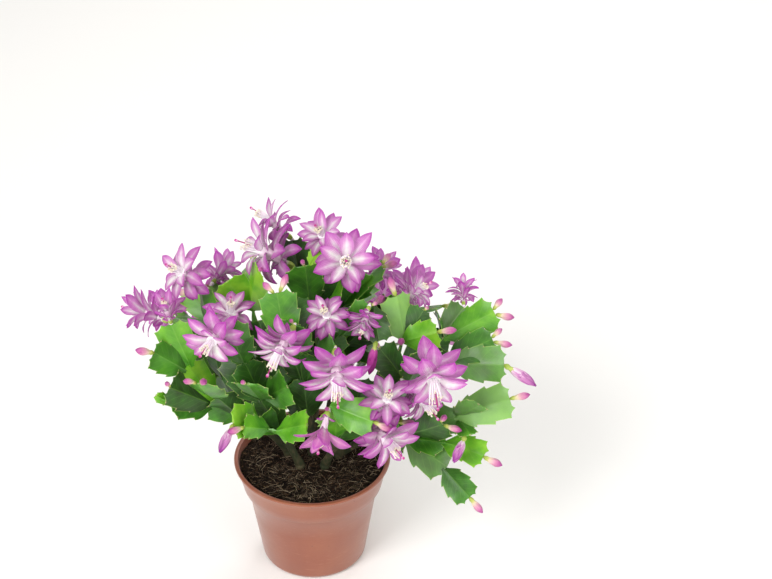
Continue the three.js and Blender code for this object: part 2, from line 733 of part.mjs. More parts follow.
// One petal raised from a face of the tube, whose corners are [a, b, c, d] with a and b on the ovary's side.
// It starts `rise` degrees from the tube's axis, curls out to `fall`, and has a keel along its back.
function addPetal(points, triangles, corners, shape) {
  const [a, b, c, d] = corners;
  const foot = corners.reduce((sum, i) => sum.add(points[i]), vec(0, 0, 0)).multiplyScalar(0.25);
  const out = vec(0, foot.y, foot.z).normalize();
  const across = vec(1, 0, 0).cross(out);
  const angleAt = (t) => THREE.MathUtils.degToRad(THREE.MathUtils.lerp(shape.rise, shape.fall, t));
  const spine = (t) => {
    const point = foot.clone();
    const step = (shape.length * t) / CURL_STEPS;
    for (let i = 0; i < CURL_STEPS; i += 1) {
      const angle = angleAt(((i + 0.5) / CURL_STEPS) * t);
      point.x += step * Math.cos(angle);
      point.addScaledVector(out, step * Math.sin(angle));
    }
    return point;
  };
  const start = points.length;
  shape.stations.forEach(([t, wide]) => {
    const middle = spine(t);
    const angle = angleAt(t);
    const back = vec(-Math.sin(angle), 0, 0).addScaledVector(out, Math.cos(angle));
    const room = PETAL_ROOM * Math.hypot(middle.y, middle.z);
    const half = Math.min(wide * shape.halfWidth, room);
    const edge = middle.clone().addScaledVector(back, -0.3 * PETAL_THICKNESS);
    points.push(
      middle.clone().addScaledVector(back, 0.7 * PETAL_THICKNESS),
      edge.clone().addScaledVector(across, half),
      edge.clone().addScaledVector(across, -half),
    );
  });
  points.push(spine(1));
  const [keel, right, left] = [start, start + 1, start + 2];
  triangles.push([a, b, keel], [b, right, keel], [a, keel, left], [b, c, right]);
  triangles.push([c, d, left], [c, left, right], [d, a, left]);
  const rows = shape.stations.length;
  for (let k = 0; k < rows; k += 1) {
    for (let i = 0; i < 3; i += 1) {
      const p = start + 3 * k + i;
      const q = start + 3 * k + ((i + 1) % 3);
      if (k === rows - 1) {
        triangles.push([p, q, start + 3 * rows]);
      } else {
        triangles.push([p, q, q + 3], [p, q + 3, p + 3]);
      }
    }
  }
}

// One bloom along x: ovary, tube, a curled-back outer whorl, an inner whorl at the mouth, and the column
// of stamens and style. The outer whorl's faces lie half a step round from the inner one's.
function bloomGeometry({ size, open }) {
  const length = BLOOM_LENGTH * size;
  const mouth = TUBE_RADIUS * size;
  const rings = [
    [0, BLOOM_FOOT_RADIUS, 0],
    [0.15 * length, OVARY_RADIUS * size, 0],
    [0.28 * length, TUBE_WAIST_RADIUS * size, 0],
    [0.44 * length, TUBE_MIDDLE_RADIUS * size, 0],
    [0.8 * length, 0.93 * mouth, 0.5],
    [length, mouth, 0.5],
    [length + 1, STAMEN_RADII[0] * size, 0.5],
    [length + STAMEN_LENGTH * size, STAMEN_RADII[1] * size, 0.5],
  ];
  const curl = ({ rise, fall }) => ({ rise: rise[0] + rise[1] * open, fall: fall[0] + fall[1] * open });
  const petal = PETAL_LENGTH * size;
  const whorlAt = {
    2: { ...curl(OUTER_CURL), length: OUTER_PETAL_SHORTER * petal, stations: OUTER_PETAL },
    4: { ...curl(INNER_CURL), length: petal, stations: INNER_PETAL },
  };
  const points = [];
  const triangles = [];
  rings.forEach(([x, radius, shift]) => {
    for (let i = 0; i < WHORL; i += 1) {
      const turn = ((i + shift) / WHORL) * 2 * Math.PI;
      points.push(vec(x, radius * Math.cos(turn), radius * Math.sin(turn)));
    }
  });
  rings.slice(0, -1).forEach((_, k) => {
    for (let i = 0; i < WHORL; i += 1) {
      const a = k * WHORL + i;
      const b = k * WHORL + ((i + 1) % WHORL);
      if (whorlAt[k]) {
        const shape = { ...whorlAt[k], halfWidth: PETAL_HALF_WIDTH * size };
        addPetal(points, triangles, [a, b, b + WHORL, a + WHORL], shape);
      } else {
        triangles.push([a, b, a + WHORL], [a + WHORL, b, b + WHORL]);
      }
    }
  });
  const last = (rings.length - 1) * WHORL;
  for (let i = 1; i < WHORL - 1; i += 1) {
    triangles.push([0, i + 1, i], [last, last + i, last + i + 1]);
  }
  return closedGeometry(points, triangles);
}

// Where a bloom's foot stands on its twig's tip: in the middle, or beside the segment that grows on from
// there. It is moved out along the bloom until its rings clear the blade, which thins to its edge.
function bloomSeat(twig, along, size) {
  const { frame, length } = twig.segments[twig.segments.length - 1];
  const across = new THREE.Vector3().setFromMatrixColumn(frame, 1);
  const facing = new THREE.Vector3().setFromMatrixColumn(frame, 2);
  const [child] = twig.children;
  const lean = child ? 0.3 * across.dot(along) - sidewaysOf(child, across) : 0;
  const side = child ? Math.sign(lean) * BLOOM_SHIFT : 0;
  const edge = vec(length - TIP_SLOPE * Math.abs(side), side, 0).applyMatrix4(frame);
  const toBlade = frame.clone().invert();
  const turns = Array.from({ length: 12 }, (_, i) => (i / 6) * Math.PI);
  const ovary = [0.15 * BLOOM_LENGTH * size, OVARY_RADIUS * size];
  const rings = [[0, BLOOM_FOOT_RADIUS], [2 * size, 2 * size], ovary];
  let foot = edge;
  for (let out = GAP; out < FURTHEST_SEAT; out += SEAT_STEP) {
    foot = edge.clone().addScaledVector(along, out);
    const place = toBlade.clone().multiply(frameAt(foot, along, facing));
    const clears = ([x, radius], turn) => {
      const p = vec(x, radius * Math.cos(turn), radius * Math.sin(turn)).applyMatrix4(place);
      const beyond = Math.max(0, p.x - length + TIP_SLOPE * Math.abs(p.y));
      const above = Math.max(0, Math.abs(p.z) - TIP_SLOPE * Math.max(0, length - p.x));
      return Math.hypot(beyond, above) > GAP;
    };
    if (rings.every((ring) => turns.every((turn) => clears(ring, turn)))) {
      break;
    }
  }
  return foot;
}

function bloomSolid(bloom) {
  const geometry = bloomGeometry(bloom).rotateX(THREE.MathUtils.degToRad(bloom.turn));
  const upright = UP.clone().addScaledVector(vec(1, 0, 0), 0.1);
  return solidOf(geometry.applyMatrix4(frameAt(bloom.origin, bloom.along, upright)));
}

// The whole plant in its pot

const part = new THREE.Group();

function addPart(name, solid, skin) {
  const mesh = new THREE.Mesh(geometryOf(solid), skin);
  mesh.name = name;
  part.add(mesh);
}

addPart("pot", potSolid(), potPlastic);
addPart("soil", soilSolid(Object.values(CUTTINGS).map((cutting) => cutting.root)), pottingSoil);

const grownCuttings = {};
Object.entries(CUTTINGS).forEach(([name, cutting]) => {
  grownCuttings[name] = growCutting(cutting);
});
BLOOMS.forEach(([cutting, index]) => {
  grownCuttings[cutting][index].blooming = true;
});
Object.entries(CUTTINGS).forEach(([name, cutting]) => {
  addPart(`cutting_${name}`, cuttingSolid(cutting, grownCuttings[name]), stemSkin);
});

BLOOMS.forEach(([cutting, index, x, y, z, size, turn, open], i) => {
  const along = vec(x, y, z).normalize();
  const bloom = { origin: bloomSeat(grownCuttings[cutting][index], along, size), along, size, turn, open };
  addPart(`bloom_${String(i + 1).padStart(2, "0")}`, bloomSolid(bloom), petalSkin);
});

export default part;
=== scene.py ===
import math
import random
from functools import partial
from types import SimpleNamespace

import bmesh
import bpy
import numpy as np
from mathutils import Matrix, Vector
from mathutils.geometry import interpolate_bezier


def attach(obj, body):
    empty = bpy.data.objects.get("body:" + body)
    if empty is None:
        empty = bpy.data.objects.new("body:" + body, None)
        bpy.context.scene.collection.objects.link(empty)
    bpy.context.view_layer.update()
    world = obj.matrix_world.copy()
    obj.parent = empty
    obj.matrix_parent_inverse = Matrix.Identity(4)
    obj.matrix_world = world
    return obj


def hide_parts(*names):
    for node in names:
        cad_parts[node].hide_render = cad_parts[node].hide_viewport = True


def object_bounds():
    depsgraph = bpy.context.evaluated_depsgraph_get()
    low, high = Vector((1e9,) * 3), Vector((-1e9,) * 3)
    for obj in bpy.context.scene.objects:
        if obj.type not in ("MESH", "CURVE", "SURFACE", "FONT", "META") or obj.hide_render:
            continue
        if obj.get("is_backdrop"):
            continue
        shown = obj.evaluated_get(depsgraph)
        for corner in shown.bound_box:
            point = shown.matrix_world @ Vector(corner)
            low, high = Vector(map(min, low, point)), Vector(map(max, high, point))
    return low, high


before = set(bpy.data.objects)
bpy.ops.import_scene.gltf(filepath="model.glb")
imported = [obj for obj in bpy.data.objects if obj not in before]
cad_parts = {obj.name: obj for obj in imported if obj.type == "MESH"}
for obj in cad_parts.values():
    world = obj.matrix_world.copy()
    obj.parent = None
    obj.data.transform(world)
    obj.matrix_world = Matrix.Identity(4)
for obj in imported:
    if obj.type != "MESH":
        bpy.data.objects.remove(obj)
cad_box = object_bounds()

# A flowering Christmas cactus in a terracotta-coloured nursery pot. The plant is laid out in millimetres, as
# its solids are, and each finished mesh is in metres.
MM = 0.001
UP = Vector((0, 0, 1))

# The pot and its soil
DRAIN_COUNT = 8
DRAIN_RADIUS = 3.5
DRAIN_CIRCLE = 27
SOIL_LEVEL = 85.5
SOIL_LUMP = 1.1
SOIL_RINGS = 27
CRUMBS = 900
FIBRES = 1400

# The stems
SEGMENT_WIDTH = 28
SEGMENT_THICKNESS = 3.2
WIDTH_BY_LENGTH = 0.78
YOUNG_WIDTH = 0.7
INNER_WIDTH = 0.9
OLD_STEM_RADIUS = 3.6
STUB_DEPTH = 14
STUB_LENGTH = 17.5
FORK_SPREAD = 4
BUD_SPREAD = 4
SHARPEST_BEND = 0.95

# The blooms. A bud longer than CLOSED_FROM is a bloom about to open.
BLOOM_LENGTH = 30
BLOOM_SHIFT = 6
SEAT_GAP = 0.3
OVARY_RADIUS = 2.9
TUBE_RADIUS = 4.6
TIP_SLOPE = 0.18
PETAL_LENGTH = 24.5
PETAL_HALF_WIDTH = 5.3
PETAL_THICKNESS = 0.5
CURL_STEPS = 40
WHORL = 5
SCALES = 4
STAMENS = 26
ROSY_BLOOMS = (17,)
MAGENTA_BUD = ("centre", 9)
CLOSED_FROM = 20
CLOSED_LENGTH = 25
SWEPT_BACK = {1: 1.1, 22: 1.1, 6: 1.1, 11: 1.12, 12: 1.05, 16: 0.85, 20: 1.05}

# How twigs are routed and which way their blades face
ROOT_SPLAY = 0.35
ROUTE_PULL = 0.3
ROUTE_POINTS = 201
TIP_DROOP = 0.06
WOBBLE = 24
CROWN_Y = 10
DIVIDE_Y = 45
DIVIDE_DEPTH = 60
FACE_OUT = 0.45
FACE_FRONT = 0.65
FACE_UP = 0.7

# Where the photo's camera stands in metres, how far it tips up from straight down, and its lens
CAMERA_PLACE = (0.0567, -1.1693, 1.0119)
CAMERA_TILT = 56.66
CAMERA_LENS = 90

# The skin and shade of a twig's last segment: how bright and how ashen its green is, from 0 to 1. Brightness
# is partly the segment's own age, young ones being paler, and partly painted shade: twigs deep in the crown
# or on a shadier side are given darker skins.
SKIN_TONES_AND_PAINTED_SHADE = {
    "d": (0.1, 0.03),
    "m": (0.4, 0.03),
    "b": (0.75, 0.0),
    "y": (1.0, 0.0),
    "p": (0.6, 0.38),
    "g": (0.3, 0.18),
}

# Each cutting: where it is rooted, and its twigs. A twig is (which joint it starts at, tip x, y, z, number
# of segments, roll in degrees, what its tip carries, skin and painted shade). "2.1" is the first joint of
# twig 2, and a plus sign marks a young last segment.
CUTTINGS = {
    "left": ((-19, 8), [
        ("root", -73, -18, 152, 3, 0, "", "m"),
        ("0.3", -101, -31, 162, 1, 25, "", "m"),
        ("1.1", -111, -36, 174, 1, 0, "+", "b"),
        ("0.3", -100, -40, 184, 1, 10, "", "d"),
        ("0.3", -88, -20, 188, 1, 30, "", "b"),
        ("4.1", -99, -14, 222, 1, 10, "", "b"),
        ("4.1", -111, -30, 208, 1, 20, "bud", "m"),
        ("0.2", -78, -46, 192, 2, 10, "buds", "m"),
        ("0.2", -80, 26, 228, 3, -20, "", "m"),
        ("8.2", -102, 6, 210, 1, 10, "", "m"),
        ("0.1", -94, 12, 174, 2, 0, "", "g"),
    ]),
    "frontLeft": ((-9, -9), [
        ("root", -36, -22, 160, 2, 0, "", "d"),
        ("0.2", -56, -26, 230, 2, 20, "", "m"),
        ("1.1", -57, -6, 206, 1, 0, "", "m"),
        ("0.1", -54, -56, 165, 2, 10, "drooping", "b"),
        ("0.1", -26, -46, 150, 1, 0, "", "m"),
        ("4.1", -46, -58, 162, 1, 10, "bud", "b"),
        ("4.1", 0, -61, 166, 1, -20, "", "b"),
        ("0.2", -42, -52, 196, 1, 0, "", "m"),
        ("0.2", -14, -50, 192, 1, 0, "", "m"),
        ("0.2", -57, -12, 192, 1, 20, "", "d"),
    ]),
    "centre": ((0, 7), [
        ("root", -4, -14, 172, 2, 0, "", "d"),
        ("0.2", -17, -36, 220, 2, 0, "", "m"),
        ("1.2", -21, -24, 256, 1, 10, "buds", "m"),
        ("0.2", -8, -38, 238, 2, -30, "", "m"),
        ("0.2", 23, -24, 220, 2, 20, "", "d"),
        ("4.2", 45, -20, 243, 1, 10, "", "m"),
        ("0.2", 21, -52, 228, 2, -15, "", "m"),
        ("0.1", -26, -14, 182, 2, 10, "", "d"),
        ("1.2", -6, -12, 244, 1, -10, "", "d"),
        ("5.1", 52, -34, 221, 1, 10, "nodding", "d"),
        ("7.2", -36, -8, 221, 1, 0, "", "d"),
    ]),
    "frontRight": ((10, -9), [
        ("root", 34, -32, 150, 2, 0, "", "d"),
        ("0.2", 55, -60, 175, 2, 20, "", "m"),
        ("0.2", 42, -58, 166, 1, -10, "", "b"),
        ("0.1", 16, -66, 184, 2, 0, "", "b"),
        ("3.2", 48, -79, 182, 1, 0, "bud", "b"),
        ("0.2", 66, -50, 160, 1, 10, "bud", "g"),
        ("0.2", 38, -28, 182, 1, 20, "", "d"),
    ]),
    "right": ((20, 4), [
        ("root", 72, -28, 132, 2, 0, "", "d"),
        ("0.2", 101, -53, 122, 1, 20, "", "g"),
        ("1.1", 118, -68, 104, 1, 10, "bud", "m"),
        ("0.2", 128, -58, 134, 2, -20, "bud", "b"),
        ("0.2", 98, -46, 156, 1, 20, "buds", "d"),
        ("0.2", 148, -30, 166, 2, 10, "bud", "p"),
        ("0.1", 87, -38, 215, 3, 20, "", "m"),
        ("6.2", 68, -36, 188, 1, 0, "", "b"),
        ("5.1", 124, -44, 172, 1, 30, "", "g"),
        ("6.2", 52, -28, 210, 1, 0, "", "d"),
        ("5.1", 118, -52, 150, 1, 0, "sideways", "m"),
    ]),
    "rightUpper": ((16, 20), [
        ("root", 68, 4, 166, 3, 0, "", "d"),
        ("0.3", 104, -2, 180, 1, 0, "", "d"),
        ("1.1", 144, -12, 184, 1, 10, "hanging", "g"),
        ("1.1", 136, 6, 194, 1, -30, "buds", "m"),
        ("0.3", 100, 18, 190, 1, 10, "", "d"),
        ("4.1", 138, 28, 204, 1, 20, "buds", "b"),
        ("4.1", 115, 36, 203, 1, 0, "", "g"),
        ("0.3", 68, -16, 206, 1, 15, "bud", "d"),
        ("7.1", 64, -4, 240, 1, 0, "bud", "p"),
        ("7.1", 94, -22, 220, 1, 20, "bud", "b"),
        ("4.1", 96, 4, 214, 1, 0, "", "d"),
        ("7.1", 84, 0, 225, 1, 10, "", "d"),
    ]),
    "top": ((0, 24), [
        ("root", 2, 26, 172, 2, 0, "", "d"),
        ("0.2", -2, 8, 258, 2, 10, "", "m"),
        ("0.2", 27, 20, 249, 2, -10, "", "b"),
        ("0.2", 16, 40, 251, 2, 0, "", "m"),
        ("3.1", -11, 36, 238, 1, -10, "", "m"),
        ("0.2", 54, 36, 240, 2, 0, "buds", "m"),
        ("5.1", 40, 66, 206, 1, 0, "", "m"),
        ("0.1", 48, 8, 224, 2, 10, "bud", "b"),
        ("7.1", 64, 16, 217, 1, 10, "", "d"),
        ("1.2", 9, 22, 264, 1, -15, "", "y"),
        ("5.1", 40, 30, 238, 1, 10, "", "m"),
        ("7.1", 54, 2, 179, 1, 0, "", "d"),
        ("0.2", -13, 58, 249, 2, 0, "", "d"),
    ]),
    "backLeft": ((-17, 25), [
        ("root", -42, 34, 166, 2, 0, "", "d"),
        ("0.2", -36, 14, 250, 2, 20, "", "y"),
        ("1.1", -60, 18, 238, 1, -20, "", "b"),
        ("0.2", -76, 48, 214, 2, 0, "", "p"),
        ("0.2", -104, 50, 184, 2, 10, "", "m"),
        ("4.1", -96, 80, 184, 1, 30, "bud", "b"),
        ("0.1", -72, 92, 152, 3, -10, "", "m"),
        ("3.1", -46, 82, 216, 1, 0, "buds", "b"),
    ]),
    "backRight": ((9, 38), [
        ("root", 26, 66, 150, 2, 0, "", "d"),
        ("0.2", 10, 84, 196, 2, 10, "", "m"),
        ("0.2", 66, 84, 178, 2, -20, "", "m"),
        ("0.2", 48, 118, 140, 2, 10, "", "b"),
        ("2.1", 100, 66, 184, 1, 20, "bud", "m"),
        ("0.1", -8, 118, 138, 3, 0, "bud", "m"),
        ("0.1", 96, 96, 138, 3, 10, "hanging", "m"),
    ]),
}

# Blooms: (cutting, twig, the way it faces, size, turn in degrees, how far its petals open from 0 to 1)
BLOOMS = [
    ("top", 4, -0.81, -0.09, 0.58, 1.05, 36, 0.9),
    ("backLeft", 6, -0.31, 0.94, -0.1, 0.85, 18, 0.9),
    ("top", 3, -0.25, -0.45, 0.86, 0.78, 20, 0.9),
    ("top", 2, 0.03, -0.76, 0.65, 1.0, 18, 1.0),
    ("top", 6, 0.62, 0.78, 0.1, 0.7, 15, 0.9),
    ("left", 8, -0.51, -0.41, 0.76, 0.88, 45, 1.0),
    ("left", 9, -0.93, 0.3, 0.2, 0.8, 0, 0.7),
    ("left", 5, -0.15, -0.2, 0.97, 0.6, 0, 0.3),
    ("frontLeft", 1, -0.38, -0.92, 0.09, 0.9, 18, 1.0),
    ("frontLeft", 2, 0.05, -0.16, 0.99, 0.78, 0, 0.9),
    ("centre", 3, -0.4, -0.86, -0.31, 0.88, 0, 1.0),
    ("centre", 4, -0.14, -0.41, 0.9, 0.7, 54, 0.9),
    ("centre", 5, -0.24, -0.91, -0.34, 0.58, 0, 0.7),
    ("centre", 6, 0.05, -0.98, -0.21, 1.05, 10, 1.0),
    ("frontRight", 1, 0.1, -0.44, 0.89, 0.78, 9, 1.0),
    ("frontRight", 2, 0.58, -0.82, 0, 0.95, 0, 0.9),
    ("frontRight", 3, -0.2, -0.91, -0.35, 0.7, 0, 0.7),
    ("right", 6, 0.1, -0.99, -0.1, 1.08, 8, 1.0),
    ("right", 7, 0.63, -0.73, -0.26, 0.8, 36, 0.9),
    ("top", 8, 0.75, 0.05, 0.65, 0.68, 0, 0.9),
    ("rightUpper", 6, 0, 0.83, 0.55, 0.52, 0, 0.9),
    ("top", 12, -0.75, 0.2, 0.62, 0.75, 0, 0.9),
    ("backLeft", 3, 0.41, 0.91, 0.11, 0.65, 0, 1.0),
    ("backLeft", 4, -0.51, 0.81, -0.3, 0.75, 20, 1.0),
    ("backRight", 1, 0.15, 0.98, 0.1, 0.85, 45, 1.0),
    ("backRight", 2, 0.5, 0.86, -0.1, 0.85, 30, 0.9),
    ("backRight", 3, 0.35, 0.94, 0, 0.95, 15, 1.0),
]

# Buds on a tip: (how far round the tip, length, how far they sag)
BUD_SETS = {
    "": [],
    "bud": [(0.1, 15, 0.25)],
    "buds": [(-0.55, 14, 0.2), (0.55, 11, 0.2)],
    "hanging": [(0.0, 27, 0.75)],
    "drooping": [(0.5, 24, 0.5)],
    "nodding": [(-0.6, 24, 1.0)],
    "sideways": [(-1.0, 24, 0.3)],
}


def clamp(value, low, high):
    return max(low, min(high, value))


def draw(k):
    """A repeatable draw from 0 to 1 for the whole number k, the one that the solids are laid out with."""
    s = math.sin(k * 12.9898 + 4.1414) * 43758.5453
    return s - math.floor(s)


def frame_at(origin, along, facing):
    """The matrix that puts local x along `along`, with local z as near to `facing` as it can be."""
    x = along.normalized()
    y = facing.cross(x).normalized()
    matrix = Matrix((x, y, x.cross(y))).transposed().to_4x4()
    matrix.translation = origin
    return matrix


def axis(matrix, column):
    return matrix.to_3x3().col[column].copy()


def on_circle(radius, turn):
    return radius * math.cos(turn), radius * math.sin(turn)


# Routes of the twigs, the same as the solids follow


def facing_at(place, along, roll):
    outward = Vector((place.x, place.y - CROWN_Y, 0)).normalized() * FACE_OUT
    side = clamp((DIVIDE_Y - place.y) / DIVIDE_DEPTH, -1, 1)
    facing = outward + Vector((0, -FACE_FRONT * side, FACE_UP))
    facing = (facing - along * (facing.dot(along) / along.length_squared)).normalized()
    return Matrix.Rotation(math.radians(roll), 3, along.normalized()) @ facing


def joints_along(start, leaving, arriving, tip, count):
    fine = interpolate_bezier(start, leaving, arriving, tip, ROUTE_POINTS)
    reached = [0.0]
    for a, b in zip(fine, fine[1:]):
        reached.append(reached[-1] + (b - a).length)
    joints = []
    for i in range(count + 1):
        goal = reached[-1] * i / count
        k = next(n for n, length in enumerate(reached) if length >= goal - 1e-9)
        k = clamp(k, 1, ROUTE_POINTS - 1)
        share = (goal - reached[k - 1]) / (reached[k] - reached[k - 1])
        joints.append(fine[k - 1].lerp(fine[k], clamp(share, 0, 1)))
    return joints


def grow_twig(root, index, twig, grown):
    source, x, y, z, count, roll, carries, skin = twig
    tip = Vector((x, y, z))
    start = Vector((root[0], root[1], SOIL_LEVEL + 3))
    leaving = Vector((x - root[0], y - root[1], 0)).normalized() * ROOT_SPLAY + UP
    if source != "root":
        parent, joint = [int(n) for n in source.split(".")]
        parent = grown[parent]
        start = parent.joints[joint].copy()
        leaving = start - parent.joints[joint - 1]
        across = axis(parent.segments[joint - 1].frame, 1)
        sideways = across.dot((tip - start).normalized())
        start += across * clamp(2 * sideways, -1, 1) * FORK_SPREAD
    reach = tip - start
    leaving = start + leaving.normalized() * ROUTE_PULL * reach.length
    arriving = tip - reach * ROUTE_PULL + UP * TIP_DROOP * reach.length
    joints = joints_along(start, leaving, arriving, tip, count)
    segments = []
    for i, origin in enumerate(joints[:-1]):
        along = joints[i + 1] - origin
        last = i == count - 1
        wobble = WOBBLE * (draw(root[0] * 7 + root[1] * 13 + index * 5 + i) - 0.5)
        young = last and "+" in carries
        width = min(SEGMENT_WIDTH, WIDTH_BY_LENGTH * along.length)
        width *= YOUNG_WIDTH if young else 1 if last else INNER_WIDTH
        kind = "old" if source == "root" and not last else "young" if young else "tip" if last else "middle"
        place = frame_at(origin, along, facing_at(origin + along / 2, along, roll + wobble))
        segments.append(SimpleNamespace(frame=place, length=along.length, half=width / 2, kind=kind))
    carries = carries.strip("+")
    return SimpleNamespace(joints=joints, segments=segments, carries=carries, skin=skin, child=None)


def grow_cutting(root, twigs):
    """The twigs of one cutting. A twig that another one carries straight on keeps that one as its child."""
    grown = []
    for index, twig in enumerate(twigs):
        grown.append(grow_twig(root, index, twig, grown))
        if twig[0] != "root":
            parent, joint = [int(n) for n in twig[0].split(".")]
            parent = grown[parent]
            ways = [axis(piece.frame, 0) for piece in (parent.segments[joint - 1], grown[-1].segments[0])]
            if joint == len(parent.segments) and ways[0].angle(ways[1]) < SHARPEST_BEND:
                parent.child = parent.child or grown[-1]
    return grown


def bud_frame(twig, turn, sag=0):
    """Where a bud stands: `turn` is how far round the twig's tip, and `sag` how far it hangs."""
    along, across, facing = [axis(twig.segments[-1].frame, column) for column in range(3)]
    origin = twig.joints[-1] + across * BUD_SPREAD * turn
    return frame_at(origin, along + across * turn - UP * sag, facing)


def bloom_seat(twig, along, size):
    """Where a bloom's foot stands: on the tip, or beside the segment that grows on from there."""
    blade, length = twig.segments[-1].frame, twig.segments[-1].length
    across, facing = axis(blade, 1), axis(blade, 2)
    side = 0
    if twig.child:
        lean = 0.3 * across.dot(along) - across.dot(axis(twig.child.segments[0].frame, 0))
        side = math.copysign(BLOOM_SHIFT, lean)
    edge = blade @ Vector((length - TIP_SLOPE * abs(side), side, 0))
    to_blade = blade.inverted()
    rings = [(0, 1.2), (2 * size, 2 * size), (0.15 * BLOOM_LENGTH * size, OVARY_RADIUS * size)]
    foot = edge
    for step in range(32):
        foot = edge + along * (SEAT_GAP + 0.1 * step)
        place = to_blade @ frame_at(foot, along, facing)
        nearest = 1.0
        for x, radius in rings:
            for i in range(12):
                p = place @ Vector((x, *on_circle(radius, i / 6 * math.pi)))
                beyond = max(0, p.x - length + TIP_SLOPE * abs(p.y))
                above = max(0, abs(p.z) - TIP_SLOPE * max(0, length - p.x))
                nearest = min(nearest, math.hypot(beyond, above))
        if nearest > SEAT_GAP:
            break
    return foot, edge


# Materials


def srgb(code):
    """The linear colour of an sRGB hex code."""
    parts = [int(code[i:i + 2], 16) / 255 for i in (1, 3, 5)]
    return (*[p / 12.92 if p <= 0.04045 else ((p + 0.055) / 1.055) ** 2.4 for p in parts], 1.0)


def feed(tree, target, value):
    """Sets one input to a value or a hex colour, or links it to a socket or to a node's first output."""
    if isinstance(value, bpy.types.Node):
        value = next(socket for socket in value.outputs if socket.enabled)
    if isinstance(value, bpy.types.NodeSocket):
        tree.links.new(value, target)
    else:
        target.default_value = srgb(value) if isinstance(value, str) else value


def add(tree, kind, *values, stops=(), **named):
    """Adds one shader node. Values go to its inputs in order, and a name is an input's or else a setting's.
    Stops are the places and colours of a ramp."""
    made = tree.nodes.new("ShaderNode" + kind)
    for name, value in named.items():
        if name in made.inputs:
            feed(tree, made.inputs[name], value)
        else:
            setattr(made, name, value)
    for target, value in zip([socket for socket in made.inputs if socket.enabled], values):
        feed(tree, target, value)
    if stops:
        ends = made.color_ramp.elements
        for element, (place, colour) in zip((ends[0], ends[-1]), (stops[0], stops[-1])):
            element.position = place
            element.color = srgb(colour)
        for place, colour in stops[1:-1]:
            made.color_ramp.elements.new(place).color = srgb(colour)
    return made


def join_up(tree, shader, **inputs):
    for key, value in inputs.items():
        feed(tree, shader.inputs[key.replace("_", " ")], value)


def finish(name, **constants):
    """A new material whose constants are set on its shader's own sockets. It comes with what adds a node to
    it, and what joins nodes up with its shader."""
    made = bpy.data.materials.new(name)
    made.use_nodes = True
    join = partial(join_up, made.node_tree, made.node_tree.nodes["Principled BSDF"])
    join(**constants)
    return made, partial(add, made.node_tree), join


def organ(node):
    """What places a point on its organ: its object place, how far along it is, how far it is from the middle
    line with and without a sign, and the shade of its copy."""
    place = node("TexCoord").outputs["Object"]
    along, across, _ = node("SeparateXYZ", node("UVMap", uv_map="UVMap")).outputs
    centred = node("Math", across, 0.5, operation="SUBTRACT")
    side = node("Math", centred, operation="ABSOLUTE")
    shade = node("SeparateColor", node("Attribute", attribute_name="shade"))
    return place, along, centred, side, shade.outputs


def waxy_stem_flesh():
    # Living stem flesh under a waxy cuticle: mottled green, a paler rib, a paler margin that is partly a
    # painted highlight along the thin edge, and soft broad highlights.
    made, node, join = finish(
        "waxy_stem_flesh", IOR=1.42, Coat_Weight=0.2, Coat_Roughness=0.24,
        Subsurface_Weight=0.06, Subsurface_Radius=(0.002, 0.004, 0.001), Subsurface_Scale=1.0,
    )
    place, along, _, side, (bright, ash, _) = organ(node)
    # Blotches about 12 mm across, and pores of 0.7 mm, coarser than real ones so that they show
    blotch = node("TexNoise", place, 80.0, 4.0)
    pore = node("TexNoise", place, 1400.0, 2.0)
    swing = node("Math", blotch, 0.5, operation="SUBTRACT")
    mottled = node("Math", swing, 0.9, bright, operation="MULTIPLY_ADD")
    # A segment is a little brighter towards its tip, where the flesh is youngest
    young = node("MapRange", along, 0.0, 1.0, -0.12, 0.12)
    tone = node("Math", mottled, young, operation="ADD")
    # The dark end of this ramp is deep enough to paint the shade inside the crown
    green = node("ValToRGB", tone, stops=[
        (0.0, "#1a3909"), (0.25, "#295b11"), (0.5, "#408218"), (0.8, "#64a622"), (1.0, "#88be30"),
    ])
    ashen = node("Mix", ash, green, "#a7cb82", data_type="RGBA")
    # Side veins leave the rib at a slant, about 5 mm apart
    slant = node("Math", side, -0.7, along, operation="MULTIPLY_ADD")
    phase = node("Math", slant, 50.0, operation="MULTIPLY")
    wave = node("Math", phase, operation="SINE")
    vein = node("MapRange", wave, 0.86, 1.0, 0.0, 0.09)
    veined = node("Mix", vein, ashen, "#8fbf58", data_type="RGBA")
    rib = node("MapRange", side, 0.0, 0.06, 0.25, 0.0)
    ribbed = node("Mix", rib, veined, "#86b650", data_type="RGBA")
    # The margin is painted paler: partly its own colour and partly a painted highlight where light catches
    # the thin edge
    pale_margin_and_highlight = node("MapRange", side, 0.465, 0.5, 0.0, 0.45)
    edged = node("Mix", pale_margin_and_highlight, ribbed, "#b5d768", data_type="RGBA")
    rough = node("MapRange", blotch, 0.3, 0.7, 0.33, 0.5)
    relief = node("Math", vein, 1.6, pore, operation="MULTIPLY_ADD")
    bump = node("Bump", Strength=0.22, Distance=0.0006, Height=relief)
    join(Base_Color=edged, Roughness=rough, Normal=bump)
    return made


